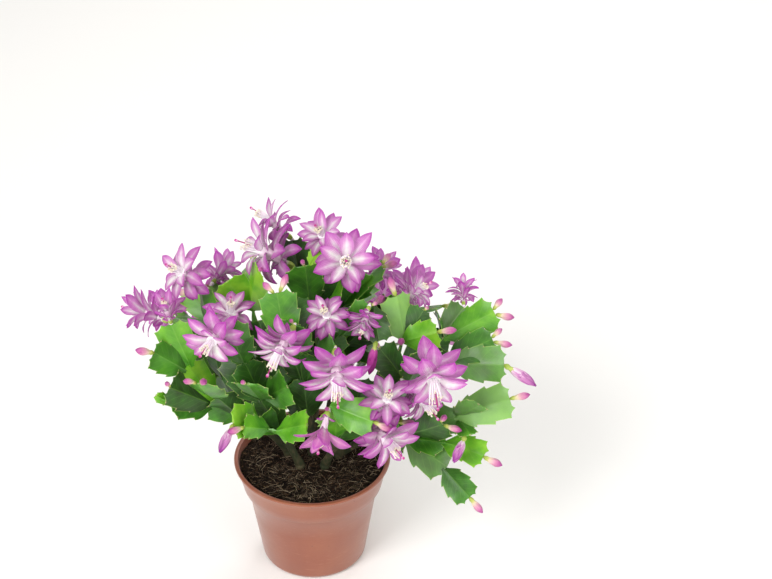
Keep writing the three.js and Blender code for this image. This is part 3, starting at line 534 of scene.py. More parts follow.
def corky_old_stem():
    # Old stem turned to cork: dull olive brown with fine lengthwise cracks, its colour taken down near black
    # as painted shade under the crown.
    made, node, join = finish("corky_old_stem", Roughness=0.78, IOR=1.45)
    place = node("TexCoord").outputs["Object"]
    # Cracks about 1 mm wide and four times as long, in patches about 8 mm across
    drawn = node("Mapping", place, Scale=(1.0, 1.0, 0.25))
    crack = node("TexNoise", drawn, 900.0, 6.0)
    patch = node("TexNoise", place, 120.0, 3.0)
    mixed = node("Math", crack, 0.5, patch, operation="MULTIPLY_ADD")
    # The ramp is darker than cork in the open: painted shade from the crown above the old stems
    shaded_cork = node("ValToRGB", mixed, stops=[
        (0.45, "#171c0a"), (0.7, "#282f14"), (0.85, "#403a24"), (1.0, "#5c5138"),
    ])
    bump = node("Bump", Strength=0.6, Distance=0.0008, Height=crack)
    join(Base_Color=shaded_cork, Normal=bump)
    return made


def areole_felt():
    # Short wool in the notches: pale tan and dull, with a soft bloom of light.
    made, node, join = finish("areole_felt", Roughness=0.95, Sheen_Weight=0.3)
    place = node("TexCoord").outputs["Object"]
    # Tufts of 0.4 mm, coarser than the real hairs so that they show
    wool = node("TexNoise", place, 2500.0, 3.0)
    tan = node("ValToRGB", wool, stops=[(0.3, "#8a7250"), (0.7, "#cfc095")])
    join(Base_Color=tan)
    return made


def petal(name, pale, middle, deep, margin=0.85, glow=0.6):
    # Thin moist petal tissue: pale along its middle and foot, deeper at margin and tip, finely veined.
    made, node, join = finish(
        name, IOR=1.28,
        Subsurface_Weight=glow, Subsurface_Radius=(0.006, 0.003, 0.006), Subsurface_Scale=1.0,
    )
    place, along, centred, side, (tone, _, _) = organ(node)
    # A blush about 6 mm across
    blush = node("TexNoise", place, 160.0, 3.0)
    # Eleven veins run side by side along the petal, about 1 mm apart
    fan = node("Math", centred, 70.0, operation="MULTIPLY")
    ripple = node("Math", fan, operation="COSINE")
    vein = node("MapRange", ripple, -1.0, 1.0, -0.045, 0.045)
    outer = node("Math", side, margin, vein, operation="MULTIPLY_ADD")
    ahead = node("Math", along, 1.4, operation="POWER")
    depth = node("Math", ahead, 0.68, outer, operation="MULTIPLY_ADD")
    cloud = node("Math", blush, 0.3, depth, operation="MULTIPLY_ADD")
    toned = node("Math", cloud, tone, operation="ADD")
    colour = node("ValToRGB", toned, stops=[(0.24, pale), (0.54, middle), (0.9, deep)])
    bump = node("Bump", Strength=0.3, Distance=0.0003, Height=ripple)
    rough = node("MapRange", blush, 0.3, 0.7, 0.55, 0.7)
    join(Base_Color=colour, Roughness=rough, Normal=bump)
    return made


def graded(name, stops, rough=0.45):
    # Soft flower tissue whose colour runs from foot to tip: smooth and slightly moist.
    made, node, join = finish(name, IOR=1.4, Roughness=rough)
    along, around, _ = node("SeparateXYZ", node("UVMap", uv_map="UVMap")).outputs
    place = node("TexCoord").outputs["Object"]
    # A blush about 3 mm across
    blush = node("TexNoise", place, 300.0, 3.0)
    swing = node("Math", blush, 0.5, operation="SUBTRACT")
    run = node("Math", swing, 0.15, along, operation="MULTIPLY_ADD")
    colour = node("ValToRGB", run, stops=stops)
    # Petals wrapped round each other leave five slanting folds
    twist = node("Math", along, 0.35, around, operation="MULTIPLY_ADD")
    winding = node("Math", twist, 10 * math.pi, operation="MULTIPLY")
    fold = node("Math", winding, operation="SINE")
    bump = node("Bump", Strength=0.35, Distance=0.0006, Height=fold)
    join(Base_Color=colour, Normal=bump)
    return made


def pot_polypropylene():
    # Injection-moulded polypropylene with terracotta pigment: satin, faintly cloudy, with rubs and dust, and
    # painted shade inside.
    made, node, join = finish(
        "pot_polypropylene", IOR=1.5, Coat_Weight=0.35, Coat_Roughness=0.4, Sheen_Weight=0.25,
    )
    place = node("TexCoord").outputs["Object"]
    # Clouds about 45 mm across, a moulded grain of 0.4 mm, rubs that run round it, and specks of dirt
    cloud = node("TexNoise", place, 22.0, 5.0)
    fine = node("TexNoise", place, 2600.0, 2.0)
    flat = node("Mapping", place, Scale=(1.0, 1.0, 9.0))
    rub = node("TexNoise", flat, 90.0, 8.0, 0.7)
    speck = node("TexVoronoi", place, 130.0)
    body = node("ValToRGB", cloud, stops=[(0.3, "#823f22"), (0.5, "#884426"), (0.72, "#915031")])
    worn = node("MapRange", rub, 0.56, 0.74, 0.0, 0.4)
    dusty = node("Mix", worn, body, "#c08a72", data_type="RGBA")
    # The inside is painted a deeper, darker colour without rubs: painted shade for the inside of the pot
    inside = node("Attribute", attribute_name="shade").outputs["Fac"]
    shaded_inside = node("Mix", inside, dusty, "#8a3f1a", data_type="RGBA")
    dirt = node("MapRange", speck, 0.05, 0.12, 0.5, 0.0)
    few = node("MapRange", cloud, 0.5, 0.6, 0.0, 1.0)
    spots = node("Math", dirt, few, operation="MULTIPLY")
    dotted = node("Mix", spots, shaded_inside, "#4f2c20", data_type="RGBA")
    rough = node("MapRange", rub, 0.35, 0.7, 0.42, 0.6)
    bump = node("Bump", Strength=0.12, Distance=0.0003, Height=fine)
    join(Base_Color=dotted, Roughness=rough, Normal=bump)
    return made


def peat():
    # Moist peat: almost black brown crumbs, with paler dry ones here and there, quite dull.
    made, node, join = finish("peat", Roughness=0.97, IOR=1.2)
    place = node("TexCoord").outputs["Object"]
    # Crumbs of about 2.4 mm, in damp and dry patches about 17 mm across
    crumb = node("TexNoise", place, 420.0, 8.0, 0.7)
    damp = node("TexNoise", place, 60.0, 3.0)
    spread = node("MapRange", damp, 0.0, 1.0, -0.4, -0.2)
    mixed = node("Math", crumb, 2.0, spread, operation="MULTIPLY_ADD")
    brown = node("ValToRGB", mixed, stops=[
        (0.5, "#070402"), (0.72, "#1b120b"), (0.9, "#332418"), (1.0, "#65503a"),
    ])
    bump = node("Bump", Strength=0.9, Distance=0.0015, Height=crumb)
    join(Base_Color=brown, Normal=bump)
    return made


def root_fibre():
    # Dry roots and peat fibres: thin, straw to grey brown, dull.
    made, node, join = finish("root_fibre", Roughness=0.85)
    shade = node("Attribute", attribute_name="shade").outputs["Fac"]
    straw = node("ValToRGB", shade, stops=[(0.0, "#3b2c1e"), (0.5, "#6b5843"), (1.0, "#b3a287")])
    join(Base_Color=straw)
    return made


def petals(name, face, back, *settings):
    return petal(f"{name}_face", *face, *settings), petal(f"{name}_back", *back, *settings)


STEM_FLESH = waxy_stem_flesh()
OLD_STEM = corky_old_stem()
FELT = areole_felt()
OPEN_PETALS = petals("petal", ("#f6e5f0", "#c37cb6", "#962e8d"), ("#e6c4dc", "#b667aa", "#8e3088"))
YOUNG_PETALS = petals(
    "young_petal", ("#c95aa8", "#b13a93", "#8e1d76"), ("#c24fa0", "#aa2f8b", "#86186e"), 0.3, 0.1,
)
CLOSED_PETALS = petals(
    "closed_petal", ("#f8e2ef", "#cf88c0", "#93328f"), ("#f5dbea", "#ca7fba", "#8b2b88"), 0.35, 0.1,
)
ROSY_PETALS = petals("rosy_petal", ("#f4cfe0", "#d283b8", "#a84c9b"), ("#f0c3d8", "#c673ad", "#9a4192"))
TUBE_SKIN = graded("flower_tube_skin", [
    (0.0, "#8fa83c"), (0.2, "#a9bf56"), (0.3, "#ecdfe6"), (0.6, "#eed3e4"), (0.85, "#f7e9f1"),
    (1.0, "#fffafc"),
])
CLOSED_TUBE = graded("closed_tube_skin", [
    (0.0, "#8fa83c"), (0.4, "#bccb6a"), (0.55, "#e9dfbd"), (0.75, "#f0d9e4"), (1.0, "#f7e9f1"),
])
FILAMENT = graded("stamen_filament", [(0.0, "#ffffff"), (0.7, "#fdf6fb"), (1.0, "#f6e4f0")], 0.5)
POLLEN = graded("pollen_anther", [(0.0, "#f8f2e4"), (1.0, "#ede2c4")], 0.9)
STYLE = graded("flower_style", [(0.0, "#e9a8d2"), (0.5, "#c94a9c"), (1.0, "#a81f72")], 0.4)
BUD_SKIN = graded("bud_skin", [
    (0.0, "#869c38"), (0.2, "#b6bf5e"), (0.34, "#dfc8b0"), (0.55, "#d295ab"), (0.8, "#b96097"),
    (1.0, "#9f4089"),
])
POT_PLASTIC = pot_polypropylene()
PEAT = peat()
FIBRE = root_fibre()


# Modelling by hand

# The full size of each master shape in metres, by its name
SIZES = {}


def mode(name):
    if not bpy.context.mode.startswith(name):
        bpy.ops.object.mode_set(mode=name)


def choose(*pieces):
    """Goes to object mode and selects these pieces alone, with the first one active."""
    mode("OBJECT")
    bpy.ops.object.select_all(action="DESELECT")
    for piece in pieces:
        piece.select_set(True)
    if pieces:
        bpy.context.view_layer.objects.active = pieces[0]


def start(primitive, **settings):
    """Adds a primitive by itself and goes into edit mode with all of it selected."""
    choose()
    primitive(**settings)
    mode("EDIT")
    return bpy.context.object


def modify(piece, kind, name, **settings):
    """Adds a modifier with its settings and applies it."""
    choose(piece)
    modifier = piece.modifiers.new(name, kind)
    for key, value in settings.items():
        setattr(modifier, key, value)
    bpy.ops.object.modifier_apply(modifier=name)


def pick(piece, wanted):
    """Selects the vertices whose index is wanted, and what lies between them."""
    mesh = bmesh.from_edit_mesh(piece.data)
    for vertex in mesh.verts:
        vertex.select = vertex.index in wanted
    mesh.select_flush_mode()
    bmesh.update_edit_mesh(piece.data)


def done(piece, name, size, smooth=40, *materials):
    """Leaves edit mode, scales a unit shape to its real size in metres, and gives it its finish."""
    bpy.ops.mesh.select_all(action="SELECT")
    bpy.ops.mesh.remove_doubles(threshold=1e-6)
    bpy.ops.transform.resize(value=tuple(s * MM for s in size), center_override=(0, 0, 0))
    bpy.ops.mesh.normals_make_consistent(inside=False)
    mode("OBJECT")
    bpy.ops.object.shade_smooth_by_angle(angle=math.radians(smooth))
    piece.name = name
    SIZES[name] = np.array(size) * MM
    piece.data.materials.clear()
    for material in materials:
        piece.data.materials.append(material)
    return piece


def turned(name, profile, sides, size, *materials, smooth=40, first=None):
    """A round shape along x: a disc extruded from ring to ring, each given as (distance along, radius)."""
    x, radius = profile[0]
    piece = start(
        bpy.ops.mesh.primitive_circle_add, vertices=sides, radius=radius, fill_type="NGON",
        location=(x, 0, 0), rotation=(0, math.pi / 2, 0),
    )
    mode("OBJECT")
    bpy.ops.object.transform_apply(location=True, rotation=True, scale=True)
    mode("EDIT")
    bpy.ops.mesh.select_all(action="SELECT")
    for (x, radius), (next_x, next_radius) in zip(profile, profile[1:]):
        bpy.ops.mesh.extrude_region_move(TRANSFORM_OT_translate={"value": (next_x - x, 0, 0)})
        share = next_radius / radius
        bpy.ops.transform.resize(value=(1, share, share), center_override=(next_x, 0, 0))
    if first:
        first()
    return wrap(done(piece, name, size, smooth, *materials))


def tapered(steps, taper=0.0):
    """The profile of a thin thread that loses a share of its radius from end to end."""
    return [(i / steps, 1 - taper * i / steps) for i in range(steps + 1)]


def wrap(piece):
    """A UV map that runs from foot to tip and once round."""
    mesh = piece.data
    places = points_of(mesh) / SIZES[piece.name]
    corner = np.empty(len(mesh.loops), dtype=np.int32)
    mesh.loops.foreach_get("vertex_index", corner)
    along = places[corner, 0]
    turn = np.arctan2(places[corner, 2], places[corner, 1]) / math.tau % 1
    layer = mesh.uv_layers.get("UVMap") or mesh.uv_layers.new(name="UVMap")
    layer.data.foreach_set("uv", np.stack([along, turn], axis=1).astype(np.float32).ravel())
    return piece


def points_of(mesh):
    points = np.empty(3 * len(mesh.vertices))
    mesh.vertices.foreach_get("co", points)
    return points.reshape(-1, 3)


def blade(name, rows, columns, thickness, size, smooth, *materials):
    """A flat organ from a grid, one unit long and a unit to each side. Each row is (along, half width) and,
    if its margin leans forward, how far. `thickness` gives the half thickness at (along, across)."""
    wide, deep = len(rows), len(columns)
    piece = start(
        bpy.ops.mesh.primitive_grid_add, x_subdivisions=wide - 1, y_subdivisions=deep - 1,
        size=2, location=(0, 0, 0),
    )
    mesh = bmesh.from_edit_mesh(piece.data)
    at = {}
    for vertex in mesh.verts:
        row, column = (vertex.co.x + 1) / 2 * (wide - 1), (vertex.co.y + 1) / 2 * (deep - 1)
        at[vertex.index] = (round(row), round(column))
    for column, y in enumerate(columns):
        pick(piece, {v for v, place in at.items() if place[1] == column})
        bpy.ops.transform.translate(value=(0, y + 1 - 2 * column / (deep - 1), 0))
    for row, (x, half, *lean) in enumerate(rows):
        mine = {v for v, place in at.items() if place[0] == row}
        pick(piece, mine)
        bpy.ops.transform.translate(value=(x + 1 - 2 * row / (wide - 1), 0, 0))
        bpy.ops.transform.resize(value=(1, half, 1), center_override=(x, 0, 0))
        for forward in lean:
            for inset, share in ((0, 1.0), (1, 0.5)):
                pick(piece, {v for v in mine if at[v][1] in (inset, deep - 1 - inset)})
                bpy.ops.transform.translate(value=(forward * share, 0, 0))
    mode("OBJECT")
    group = piece.vertex_groups.new(name="half_thickness")
    for v, (row, column) in at.items():
        group.add([v], thickness(rows[row][0], columns[column]), "REPLACE")
    modify(
        piece, "SOLIDIFY", "wall", thickness=2, offset=0, vertex_group="half_thickness",
        material_offset=len(materials) - 1, material_offset_rim=0,
    )
    piece.vertex_groups.clear()
    mode("EDIT")
    return done(piece, name, size, smooth, *materials)


def grain(name, size, rings, material):
    """A small lump, from an icosphere that is squeezed and smoothed."""
    piece = start(bpy.ops.mesh.primitive_ico_sphere_add, subdivisions=rings, radius=1)
    bpy.ops.transform.vertex_random(offset=0.12, seed=3)
    return wrap(done(piece, name, size, 60, material))


def hidden(*masters):
    """Takes the masters out of the scene. Their copies stay."""
    for master in masters:
        bpy.data.objects.remove(master)


def copy_of(master, reshape, matrix, shade=(0.5, 0.0, 0.5), tissues=()):
    """A copy with its own mesh. `reshape` turns unit points to millimetres, and the matrix places them."""
    mesh = master.data.copy()
    for slot, tissue in enumerate(tissues):
        mesh.materials[slot] = tissue
    local = np.stack(reshape(*(points_of(mesh) / SIZES[master.name]).T), axis=1)
    placed = (local @ np.array(matrix.to_3x3()).T + np.array(matrix.translation)) * MM
    mesh.vertices.foreach_set("co", placed.ravel())
    mesh.update()
    layer = mesh.attributes.new("shade", "FLOAT_COLOR", "POINT")
    layer.data.foreach_set("color", np.tile([*shade, 1.0], len(mesh.vertices)))
    made = bpy.data.objects.new(master.name, mesh)
    bpy.context.scene.collection.objects.link(made)
    return made


def as_one(name, pieces, node):
    """Joins copies into one piece, which stands for its CAD node."""
    pieces = list(pieces)
    choose(*pieces)
    if len(pieces) > 1:
        bpy.ops.object.join()
    whole = bpy.context.object
    whole.name = name
    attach(whole, "root")
    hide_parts(node)
    return whole


# Masters of the stems

# The outline of each kind of segment from foot to tip: (along, half width), and how far a tooth leans on
BLADE_ROWS = {
    "tip": [
        (-0.05, 0.17), (0, 0.22), (0.06, 0.34), (0.13, 0.54), (0.2, 0.72), (0.26, 0.84), (0.3, 0.93, 0.02),
        (0.33, 0.8), (0.4, 0.86), (0.48, 0.93), (0.56, 1.0), (0.6, 1.06, 0.02), (0.635, 0.9), (0.7, 0.92),
        (0.78, 0.95), (0.86, 0.96), (0.9, 1.0, 0.025), (0.93, 0.8), (0.96, 0.68), (0.98, 0.6, 0.01),
        (0.99, 0.52, 0.05),
    ],
    "middle": [
        (-0.05, 0.17), (0, 0.22), (0.06, 0.33), (0.14, 0.52), (0.22, 0.7), (0.3, 0.84), (0.37, 0.93),
        (0.42, 1.0, 0.02), (0.46, 0.84), (0.54, 0.88), (0.63, 0.94), (0.72, 0.98), (0.8, 1.0),
        (0.84, 1.06, 0.02), (0.875, 0.87), (0.92, 0.74), (0.955, 0.62), (0.975, 0.52, 0.04),
        (1.0, 0.3, 0.01), (1.02, 0.2),
    ],
    "young": [
        (-0.05, 0.2), (0.05, 0.3), (0.14, 0.42), (0.24, 0.56), (0.33, 0.74), (0.4, 0.9), (0.44, 1.0, 0.02),
        (0.48, 0.84), (0.58, 0.92), (0.7, 0.98), (0.78, 1.06, 0.02), (0.82, 0.88), (0.89, 0.8),
        (0.95, 0.66), (0.99, 0.5, 0.05),
    ],
}
BLADE_COLUMNS = [-1, -0.88, -0.66, -0.4, -0.18, -0.07, 0, 0.07, 0.18, 0.4, 0.66, 0.88, 1]


def flesh(x, y):
    """A segment's half thickness: a stout rib that fades to the tip, and flesh that thins to the margin."""
    far = clamp(1.05 - 0.55 * x, 0.3, 1)
    foot = 0.7 if x <= 0 else 1
    return foot * (0.14 + 0.28 * (1 - abs(y) ** 2.5) + 0.58 * far * math.exp(-((y / 0.12) ** 2)))


BLADES = {
    kind: blade(f"blade_{kind}", rows, BLADE_COLUMNS, flesh, (40, 14, 1.6), 48, STEM_FLESH)
    for kind, rows in BLADE_ROWS.items()
}
OLD_PIECE = turned("old_piece", [
    (-0.07, 0.45), (-0.04, 0.8), (0, 1.02), (0.06, 1.1), (0.14, 0.96), (0.3, 0.86), (0.5, 0.84), (0.7, 0.88),
    (0.86, 0.98), (0.94, 1.1), (1.0, 1.0), (1.04, 0.8), (1.07, 0.45),
], 12, (40, 3.6, 3.6), OLD_STEM, smooth=70)
WOOL = grain("wool", (0.7, 0.7, 0.7), 1, FELT)
BUD = turned("bud", [
    (-0.03, 0.25), (0.0, 0.34), (0.06, 0.5), (0.13, 0.62), (0.2, 0.6), (0.26, 0.6), (0.34, 0.74),
    (0.46, 0.9), (0.58, 0.99), (0.68, 1.0), (0.78, 0.88), (0.87, 0.64), (0.94, 0.36), (0.985, 0.14),
    (1.0, 0.03),
], 15, (15, 3.2, 3.2), BUD_SKIN, smooth=70)

# Where a segment's wool sits: (along, across) of each notch, and the middle of the tip
NOTCHES = {
    "tip": [(0.325, 0.8), (0.63, 0.9), (0.925, 0.82), (0.985, 0.05)],
    "middle": [(0.455, 0.85), (0.87, 0.88)],
    "young": [(0.475, 0.85), (0.815, 0.88), (0.985, 0.05)],
}


def bent_blade(length, half, ridge, dice):
    """Points of one segment in millimetres: arched, cupped, twisted and a little wavy, its ends in place."""
    arch = dice.uniform(-0.03, 0.06) * length
    cup = dice.uniform(-0.34, 0.12) * half
    twist = dice.uniform(-0.3, 0.3)
    phase = dice.uniform(0, math.tau)
    lopsided = dice.uniform(-0.07, 0.07)

    def reshape(u, v, w):
        grow = np.clip(u, 0, 1)
        swell = 4 * grow * (1 - grow)
        y = v * half * (1 + lopsided * np.sign(v))
        z = ridge * w + arch * swell
        z = z + cup * np.abs(v) ** 1.6 * np.sin(math.pi * grow) ** 0.6
        z = z + 0.08 * half * np.sin(9 * u + phase) * v * np.abs(v)
        turn = twist * swell
        x = (u + 0.02 * np.sin(math.tau * grow + phase) * swell) * length
        return x, y * np.cos(turn) - z * np.sin(turn), y * np.sin(turn) + z * np.cos(turn)

    return reshape


def plain(length, radius, second=None):
    return lambda u, v, w: (u * length, v * radius, w * (second or radius))


def bud_shape(length, radius, bend, dice):
    """Points of one bud: five blunt lobes that wind round it, and a slight bow."""
    phase = dice.uniform(0, math.tau)

    def reshape(u, v, w):
        turn = np.arctan2(w, v)
        lobe = 1 + 0.07 * np.cos(5 * turn + 2.2 * u + phase) * np.clip(3 * u - 0.6, 0, 1)
        return u * length, v * radius * lobe, w * radius * lobe + bend * length * u * (u - 1)

    return reshape


def bud(matrix, length, dice):
    radius = (0.13 * length + 0.9) * dice.uniform(0.92, 1.05)
    shade = (dice.uniform(0.3, 0.7), 0, dice.random())
    return copy_of(BUD, bud_shape(length, radius, dice.uniform(-0.1, 0.2), dice), matrix, shade)


def segment_pieces(twig, dice):
    """The segments of a twig, with wool in the notches of those that are green."""
    # The skin's brightness is partly painted shade, dark for twigs deep in the crown
    bright, ash = SKIN_TONES_AND_PAINTED_SHADE[twig.skin]
    for i, segment in enumerate(twig.segments):
        matrix, kind = segment.frame, segment.kind
        if kind == "old":
            shape = plain(segment.length, OLD_STEM_RADIUS, 0.85 * OLD_STEM_RADIUS)
            yield copy_of(OLD_PIECE, shape, matrix)
            continue
        last = i == len(twig.segments) - 1
        tone = bright if last else clamp(bright - 0.25, 0.1, 0.6)
        shade = (clamp(tone + dice.uniform(-0.08, 0.08), 0, 1), ash if last else 0.4 * ash, dice.random())
        if kind == "tip" and twig.child:
            kind = "middle"
        reshape = bent_blade(segment.length, segment.half, SEGMENT_THICKNESS / 2, dice)
        yield copy_of(BLADES[kind], reshape, matrix, shade)
        for along, across in NOTCHES[kind]:
            for side in (-1, 1):
                notch = np.concatenate(reshape(*np.array([[along], [side * across], [0.0]])))
                yield copy_of(WOOL, plain(0.6, 0.6, 0.45), matrix @ Matrix.Translation(notch.tolist()))


def cutting_pieces(name, root, grown):
    dice = random.Random(name)
    facing = axis(grown[0].segments[0].frame, 2)
    foot = Vector((root[0], root[1], SOIL_LEVEL - STUB_DEPTH))
    yield copy_of(OLD_PIECE, plain(STUB_LENGTH, 1.05 * OLD_STEM_RADIUS), frame_at(foot, UP, facing))
    for number, twig in enumerate(grown):
        yield from segment_pieces(twig, dice)
        for turn, length, sag in BUD_SETS[twig.carries]:
            matrix = bud_frame(twig, turn, sag)
            if length > CLOSED_FROM:
                tissues = YOUNG_PETALS if (name, number) == MAGENTA_BUD else CLOSED_PETALS
                yield from closed_bloom(matrix, length, tissues, dice)
            else:
                yield bud(matrix, length, dice)
        # Every other bare tip carries one tiny bud
        if not twig.carries and not twig.child and number % 2:
            matrix = bud_frame(twig, dice.uniform(-0.5, 0.5))
            yield bud(matrix, dice.uniform(4, 7), dice)


# Masters of the blooms

PETAL_ROWS = [
    (0, 0.42), (0.07, 0.5), (0.16, 0.66), (0.27, 0.82), (0.38, 0.93), (0.5, 1.0), (0.61, 0.99), (0.7, 0.91),
    (0.78, 0.77), (0.85, 0.59), (0.9, 0.42), (0.94, 0.27), (0.97, 0.14), (1.0, 0.02),
]
PETAL_COLUMNS = [-1, -0.8, -0.5, -0.2, 0, 0.2, 0.5, 0.8, 1]
PETAL = blade(
    "petal", PETAL_ROWS, PETAL_COLUMNS, lambda x, y: 1 - 0.6 * abs(y) ** 3, (27, 6.3, 0.25), 60,
    *OPEN_PETALS,
)
TUBE = turned("tube", [
    (-0.02, 0.22), (0.0, 0.28), (0.04, 0.45), (0.09, 0.58), (0.15, 0.63), (0.21, 0.57), (0.26, 0.48),
    (0.31, 0.52), (0.44, 0.66), (0.62, 0.76), (0.8, 0.88), (0.92, 0.96), (0.99, 1.0), (1.01, 0.93),
    (0.99, 0.8), (0.97, 0.5), (0.965, 0.1),
], 15, (30, 4.6, 4.6), TUBE_SKIN, smooth=60)
THREAD = turned("thread", tapered(8, 0.3), 5, (20, 0.3, 0.3), FILAMENT, smooth=80)
STYLE_THREAD = turned("style_thread", tapered(8), 6, (20, 0.3, 0.3), STYLE, smooth=80)
ANTHER = grain("anther", (1.1, 0.6, 0.6), 1, POLLEN)
STIGMA = grain("stigma", (1.5, 0.9, 0.9), 2, STYLE)


def curled(foot, turn, rise, fall, length, half, dice, loose=1.0, wrapped=0.0):
    """Points of one petal that starts `rise` degrees from the bloom's axis and curls out to `fall`."""
    out = np.array([0, *on_circle(1, turn)])
    across = np.array([0, -math.sin(turn), math.cos(turn)])
    steps = np.linspace(0, 1, CURL_STEPS + 1)
    angles = np.radians(rise + (fall - rise) * steps ** 0.7)
    middle = (angles[1:] + angles[:-1]) / 2
    ahead = np.concatenate([[0], np.cumsum(np.cos(middle))]) * length / CURL_STEPS
    aside = np.concatenate([[0], np.cumsum(np.sin(middle))]) * length / CURL_STEPS
    trough = (dice.uniform(0.05, 0.28) + wrapped) * half
    sway = dice.uniform(-0.12, 0.12) * length * loose
    twist = dice.uniform(-0.4, 0.4) * loose
    phase = dice.uniform(0, math.tau)

    def reshape(u, v, w):
        angle = np.interp(u, steps, angles)
        front = np.stack([np.sin(angle), *(-np.cos(angle) * part for part in out[1:])])
        lift = PETAL_THICKNESS / 2 * w + trough * (np.abs(v) ** 1.4) * (1.15 - 0.8 * u)
        lift = lift + half * v * (twist * u + 0.08 * np.sin(7 * u + phase))
        points = np.outer(np.array([1.0, 0, 0]), foot[0] + np.interp(u, steps, ahead))
        points += np.outer(out, foot[1] + np.interp(u, steps, aside))
        points += np.outer(across, v * half + sway * u * u)
        return tuple(points + front * lift)

    return reshape


def drooping(begin, direction, length, radius, down, droop):
    """Points of a thin thread that leaves a point in a direction and sinks as it goes."""
    begin, direction, down = [np.array(part) for part in (begin, direction, down)]

    def reshape(u, v, w):
        run = np.outer(direction, u * length) + np.outer(down, droop * length * u * u)
        return tuple(begin[:, None] + run + np.stack([0 * u, v * radius, w * radius]))

    return reshape


# The whorls of a bloom about to open: how far along it each starts, the radius there, its rise and fall, and
# the length and half width of its petals
CLOSED_WHORLS = (
    (0.24, 1.9, 22, -2, 0.36, 2.4),
    (0.28, 2.2, 26, -29, 0.62, 3.5),
    (0.3, 2.1, 23, -26, 0.77, 3.3),
)


def closed_bloom(matrix, length, tissues, dice):
    """A bloom about to open: its tube, and petals wrapped to a point whose tips part a little."""
    scale = length / CLOSED_LENGTH
    yield copy_of(TUBE, plain(0.62 * length, 3.2 * scale), matrix, tissues=(CLOSED_TUBE,))
    for up_tube, radius, rise, fall, share, wide in CLOSED_WHORLS:
        for i in range(WHORL):
            angle = (i + 1.4 * share) / WHORL * math.tau
            reshape = curled(
                (up_tube * length, radius * scale), angle, rise, fall + dice.uniform(-2, 3),
                share * length * dice.uniform(0.96, 1.04), wide * scale, dice, 0.3, 0.5,
            )
            shade = (dice.uniform(0.02, 0.18), 0, dice.random())
            yield copy_of(PETAL, reshape, matrix, shade, tissues)


def whorls_of(number, opened):
    """A bloom's whorls: how far along its tube each starts, the radius there, how much of a step it is
    turned, its rise and fall, the length and width of its petals, and their tone, which is deeper on the
    outer whorls, partly as painted shade on the petals that lie back from the light."""
    if number in ROSY_BLOOMS:
        return [(0.7, 2.6, 0, 20, 70, 1.5, 1.25, 0.12), (0.9, 3.2, 0.5, 10, 50, 1.1, 1.0, 0.08)]
    whorls = [
        (0.4, 2.4, 0.5, 24 + 16 * opened, 20 + 126 * opened, 0.88, 0.9, 0.1),
        (0.6, 3.0, 0.05, 18 + 18 * opened, 16 + 118 * opened, 0.96, 1.0, 0.05),
        (0.8, 3.4, 0.6, 10 + 24 * opened, 10 + 100 * opened, 1.02, 1.0, 0.02),
        (0.94, 3.7, 0.1, 6 + 20 * opened, 6 + 74 * opened, 0.86, 0.84, -0.08),
    ]
    return whorls if opened >= 0.5 else whorls[::2]


def petal_pieces(number, matrix, size, opened, dice):
    """The whorls of petals, and the small scales low on the tube."""
    length, half = BLOOM_LENGTH * size, PETAL_HALF_WIDTH * size
    tissues = ROSY_PETALS if number in ROSY_BLOOMS else ()
    sky = matrix.to_3x3().inverted() @ UP
    for up_tube, radius, shift, rise, fall, share, wide, tone in whorls_of(number, opened):
        for i in range(WHORL):
            angle = (i + shift) / WHORL * math.tau + dice.uniform(-0.22, 0.22)
            # Petals on the upper side are longer, and those on the underside roll further back
            high = math.cos(angle) * sky.y + math.sin(angle) * sky.z
            reshape = curled(
                (up_tube * length, radius * size), angle,
                rise + dice.uniform(-6, 6), fall - 36 * high * opened + dice.uniform(-16, 16),
                (share + 0.13 * high) * PETAL_LENGTH * size * dice.uniform(0.92, 1.04),
                wide * half * (1 + 0.12 * high) * dice.uniform(0.88, 1.1), dice,
            )
            # The tone deepens the outer whorls' purple, partly as painted shade
            shade = (tone + dice.uniform(-0.06, 0.06), 0, dice.random())
            yield copy_of(PETAL, reshape, matrix, shade, tissues)
    for i in range(SCALES):
        angle = i / SCALES * math.tau + dice.uniform(-0.3, 0.3)
        reshape = curled(
            (0.27 * length, 2.1 * size), angle, 30 + 20 * opened, 60 + 70 * opened * dice.random(),
            dice.uniform(7, 11) * size, 2.6 * size, dice,
        )
        yield copy_of(PETAL, reshape, matrix, (0.15, 0, 0.5))


def thread_pieces(matrix, size, opened, dice):
    """The stamens with their anthers, and the style with its stigma."""
    mouth, ahead = 0.94 * BLOOM_LENGTH * size, 0.06 * BLOOM_LENGTH * size
    down = matrix.to_3x3().inverted() @ -UP
    reach = (12 + 5 * dice.random()) * size * (0.4 + 0.6 * opened)

    def thread(master, begin, direction, run, radius, droop, end, shape):
        yield copy_of(master, drooping(begin, direction, run, radius, down, droop), matrix)
        tip = Vector(begin) + Vector(direction) * run + down * droop * run
        yield copy_of(end, shape, matrix @ Matrix.Translation(tip))

    for i in range(STAMENS):
        away = 0.55 * math.sqrt((i + 0.5) / STAMENS) * TUBE_RADIUS * size
        y, z = on_circle(away, 2.4 * i)
        direction = Vector((1, 0.05 * y, 0.05 * z)).normalized()
        run, droop = ahead + reach * dice.uniform(0.6, 1.0), dice.uniform(0.1, 0.22)
        yield from thread(THREAD, (mouth, y, z), direction, run, 0.7 * size, droop, ANTHER, plain(1.2, 0.7))
    run = ahead + reach + 6 * size
    yield from thread(STYLE_THREAD, (mouth, 0, 0), (1, 0, 0), run, 0.5 * size, 0.14, STIGMA, plain(1.6, 1.1))


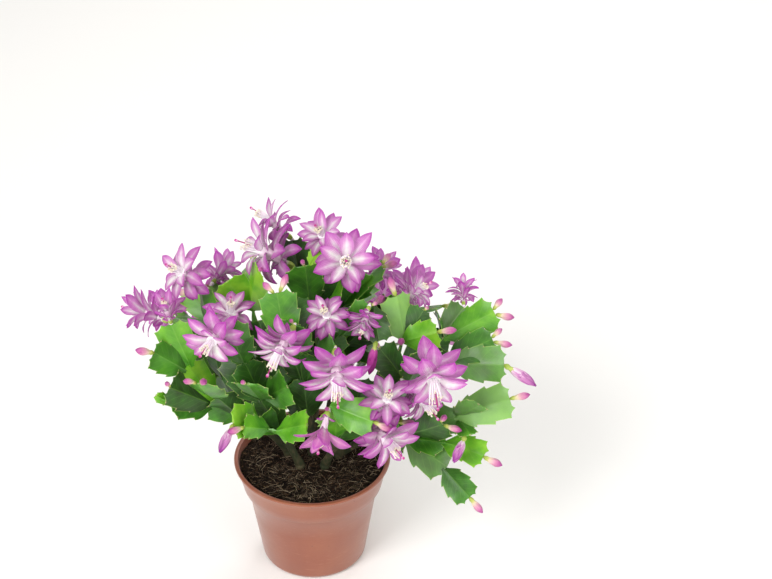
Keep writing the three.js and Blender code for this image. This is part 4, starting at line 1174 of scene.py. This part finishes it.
def bloom_pieces(number, twig, along, size, turn, opened):
    dice = random.Random(number)
    opened = SWEPT_BACK.get(number, opened)
    foot, edge = bloom_seat(twig, along, size)
    facing = UP + Vector((0.1, 0, 0))
    matrix = frame_at(foot, along, facing) @ Matrix.Rotation(math.radians(turn), 4, "X")
    yield copy_of(TUBE, plain(BLOOM_LENGTH * size, TUBE_RADIUS * size), matrix)
    # A short stalk leads from the segment into the tube
    stalk = frame_at(edge - along * 1.5, along, facing)
    yield copy_of(TUBE, plain((foot - edge).length + 2, 1.6), stalk)
    yield from petal_pieces(number, matrix, size, opened, dice)
    yield from thread_pieces(matrix, size, opened, dice)


# The plant

grown = {name: grow_cutting(root, twigs) for name, (root, twigs) in CUTTINGS.items()}
for name, (root, _) in CUTTINGS.items():
    as_one(f"stems_{name}", cutting_pieces(name, root, grown[name]), f"cutting_{name}")
for number, (cutting, index, x, y, z, size, turn, opened) in enumerate(BLOOMS, 1):
    along = Vector((x, y, z)).normalized()
    pieces = bloom_pieces(number, grown[cutting][index], along, size, turn, opened)
    as_one(f"flower_{number:02d}", pieces, f"bloom_{number:02d}")
hidden(*BLADES.values(), OLD_PIECE, WOOL, BUD, PETAL, TUBE, THREAD, STYLE_THREAD, ANTHER, STIGMA)


# The pot


def to_upright(piece):
    """Turns a shape made along x to stand along z."""
    piece.data.transform(Matrix.Rotation(-math.pi / 2, 4, "Y"))
    piece.data.transform(Matrix.Rotation(math.pi / 2, 4, "Z"))


def pot():
    shell = turned("pot_shell", [
        (0, 36), (0.35, 38.2), (1.3, 39.6), (2.6, 40.3), (4, 40.62), (20, 43.1), (45, 47.0), (66.3, 50.35),
        (66.7, 50.7), (67.1, 52.6), (67.4, 53.4), (68.0, 53.8), (74, 55.13), (80.8, 56.65), (81.0, 56.98),
        (87.4, 58.35), (87.8, 58.6), (87.95, 59.6), (88.4, 60), (89.5, 60), (89.85, 59.85), (90, 59.5),
        (90, 57.4), (89.85, 57.05), (89.5, 56.85), (68.8, 51.95), (68.2, 51.2), (66.8, 48.9), (66.2, 48.6),
        (3.2, 38.6), (2.6, 38.2), (2.4, 37.5),
    ], 128, (1, 1, 1), POT_PLASTIC, smooth=35)
    to_upright(shell)
    drills = []
    for i in range(DRAIN_COUNT):
        place = on_circle(DRAIN_CIRCLE * MM, (i + 0.5) / DRAIN_COUNT * math.tau)
        drills.append(start(
            bpy.ops.mesh.primitive_cylinder_add, vertices=24, radius=DRAIN_RADIUS * MM, depth=0.02,
            location=(*place, 0),
        ))
    choose(*drills)
    bpy.ops.object.join()
    modify(shell, "BOOLEAN", "drains", object=drills[0])
    bpy.data.objects.remove(drills[0])
    # The inside, which lies within the middle of the wall, is marked for the material's painted shade
    shade = shell.data.attributes.new("shade", "FLOAT_COLOR", "POINT")
    for vertex, corner in zip(shell.data.vertices, shade.data):
        x, y, z = vertex.co / MM
        middle = 52.8 + 0.235 * (z - 67.6) if z > 67.5 else 39.2 + 0.155 * z
        shaded_inside = z > 2 and math.hypot(x, y) < middle
        corner.color = (shaded_inside, shaded_inside, shaded_inside, 1)
    return shell


as_one("pot_shell", [pot()], "pot")


# The soil, with crumbs and fibres on it


def soil_height(x, y):
    broad = math.sin(x * 0.11 + 1) * math.cos(y * 0.13) + 0.6 * math.sin(x * 0.31 - y * 0.23)
    return SOIL_LEVEL + SOIL_LUMP * broad


def soil_block():
    def inner_rings():
        for _ in range(SOIL_RINGS):
            bpy.ops.mesh.inset(thickness=2.0)

    profile = [(2.8, 37.8), (66.4, 48.1), (69.4, 51.4), (80, 54.2), (85.2, 55.4)]
    block = turned("soil_block", profile, 128, (1, 1, 1), PEAT, smooth=80, first=inner_rings)
    to_upright(block)
    group = block.vertex_groups.new(name="top")
    for vertex in block.data.vertices:
        x, y, z = vertex.co / MM
        if z > 85:
            group.add([vertex.index], 1.0, "REPLACE")
            vertex.co.z = soil_height(x, y) * MM
    for name, scale, strength in (("clods", 0.009, 2.2), ("crumbs", 0.0028, 1.5)):
        texture = bpy.data.textures.new(name, "CLOUDS")
        texture.noise_scale = scale
        modify(
            block, "DISPLACE", name, texture=texture, texture_coords="LOCAL", direction="Z",
            vertex_group="top", strength=strength * MM,
        )
    return block


def soil_pieces():
    dice = random.Random(7)
    crumb = grain("crumb", (1, 1, 1), 1, PEAT)
    fibre = turned("fibre", tapered(6), 3, (10, 0.16, 0.16), FIBRE, smooth=80)
    yield soil_block()

    def spot(reach):
        turn = dice.uniform(0, math.tau)
        return on_circle(reach * math.sqrt(dice.random()), turn)

    def laid(x, y, lift):
        """A matrix on the soil, turned at random."""
        place = Matrix.Translation((x, y, soil_height(x, y) + lift))
        return place @ Matrix.Rotation(dice.uniform(0, 6.28), 4, "Z")

    for _ in range(CRUMBS):
        place = spot(54.5)
        size = 0.5 + 1.1 * dice.random() ** 2
        yield copy_of(crumb, plain(1.4 * size, size, 0.8 * size), laid(*place, 0.1))
    for number in range(FIBRES):
        place = spot(52)
        length = dice.uniform(9, 17) if number % 15 == 0 else dice.uniform(2, 7)
        bow, hop = dice.uniform(-0.3, 0.3), dice.uniform(0, 0.12)
        tilted = laid(*place, 0.5) @ Matrix.Rotation(dice.uniform(-0.12, 0.12), 4, "Y")

        def reshape(u, v, w, length=length, bow=bow, hop=hop):
            lifted = 0.1 * w + hop * length * 4 * u * (1 - u)
            return u * length, 0.1 * v + bow * length * (u * u - u), lifted

        tone = dice.random() ** 2
        yield copy_of(fibre, reshape, tilted @ Matrix.Translation((-length / 2, 0, 0)), (tone, tone, tone))
    hidden(crumb, fibre)


as_one("soil_surface", soil_pieces(), "soil")


# The floor, light and camera


def setting():
    floor = start(bpy.ops.mesh.primitive_plane_add, size=8)
    mode("OBJECT")
    floor.name = "floor"
    # Matt white paper that the pot stands on
    paper, _, _ = finish("pale_floor_paper", Base_Color="#f3f2f0", Roughness=0.7)
    floor.data.materials.append(paper)
    floor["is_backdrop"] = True
    world = bpy.data.worlds.new("studio")
    world.use_nodes = True
    join_up(world.node_tree, world.node_tree.nodes["Background"], Color="#faf8f4", Strength=0.55)
    bpy.context.scene.world = world
    aim = Vector((0, 0, 0.15))
    for name, place, power, size in (
        ("key", (-0.9, -1.2, 1.5), 26, 0.8),
        ("fill", (1.2, -1.2, 0.9), 11, 1.2),
        ("front", (-0.2, -1.6, 0.7), 7, 0.8),
        ("back", (0.4, 1.2, 1.4), 12, 0.8),
    ):
        bpy.ops.object.light_add(type="AREA", location=place)
        lamp = bpy.context.object
        lamp.name = name
        lamp.data.energy = power
        lamp.data.size = size
        lamp.rotation_euler = (aim - Vector(place)).to_track_quat("-Z", "Y").to_euler()
    bpy.ops.object.camera_add(location=CAMERA_PLACE, rotation=(math.radians(CAMERA_TILT), 0, 0))
    camera = bpy.context.object
    camera.data.lens = CAMERA_LENS
    camera.data.sensor_width = 36
    bpy.context.scene.camera = camera
    bpy.context.scene.view_settings.view_transform = "Standard"


setting()

boxes = {"cad": cad_box, "visual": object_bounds()}
{name: [list(corner) for corner in box] for name, box in boxes.items()}
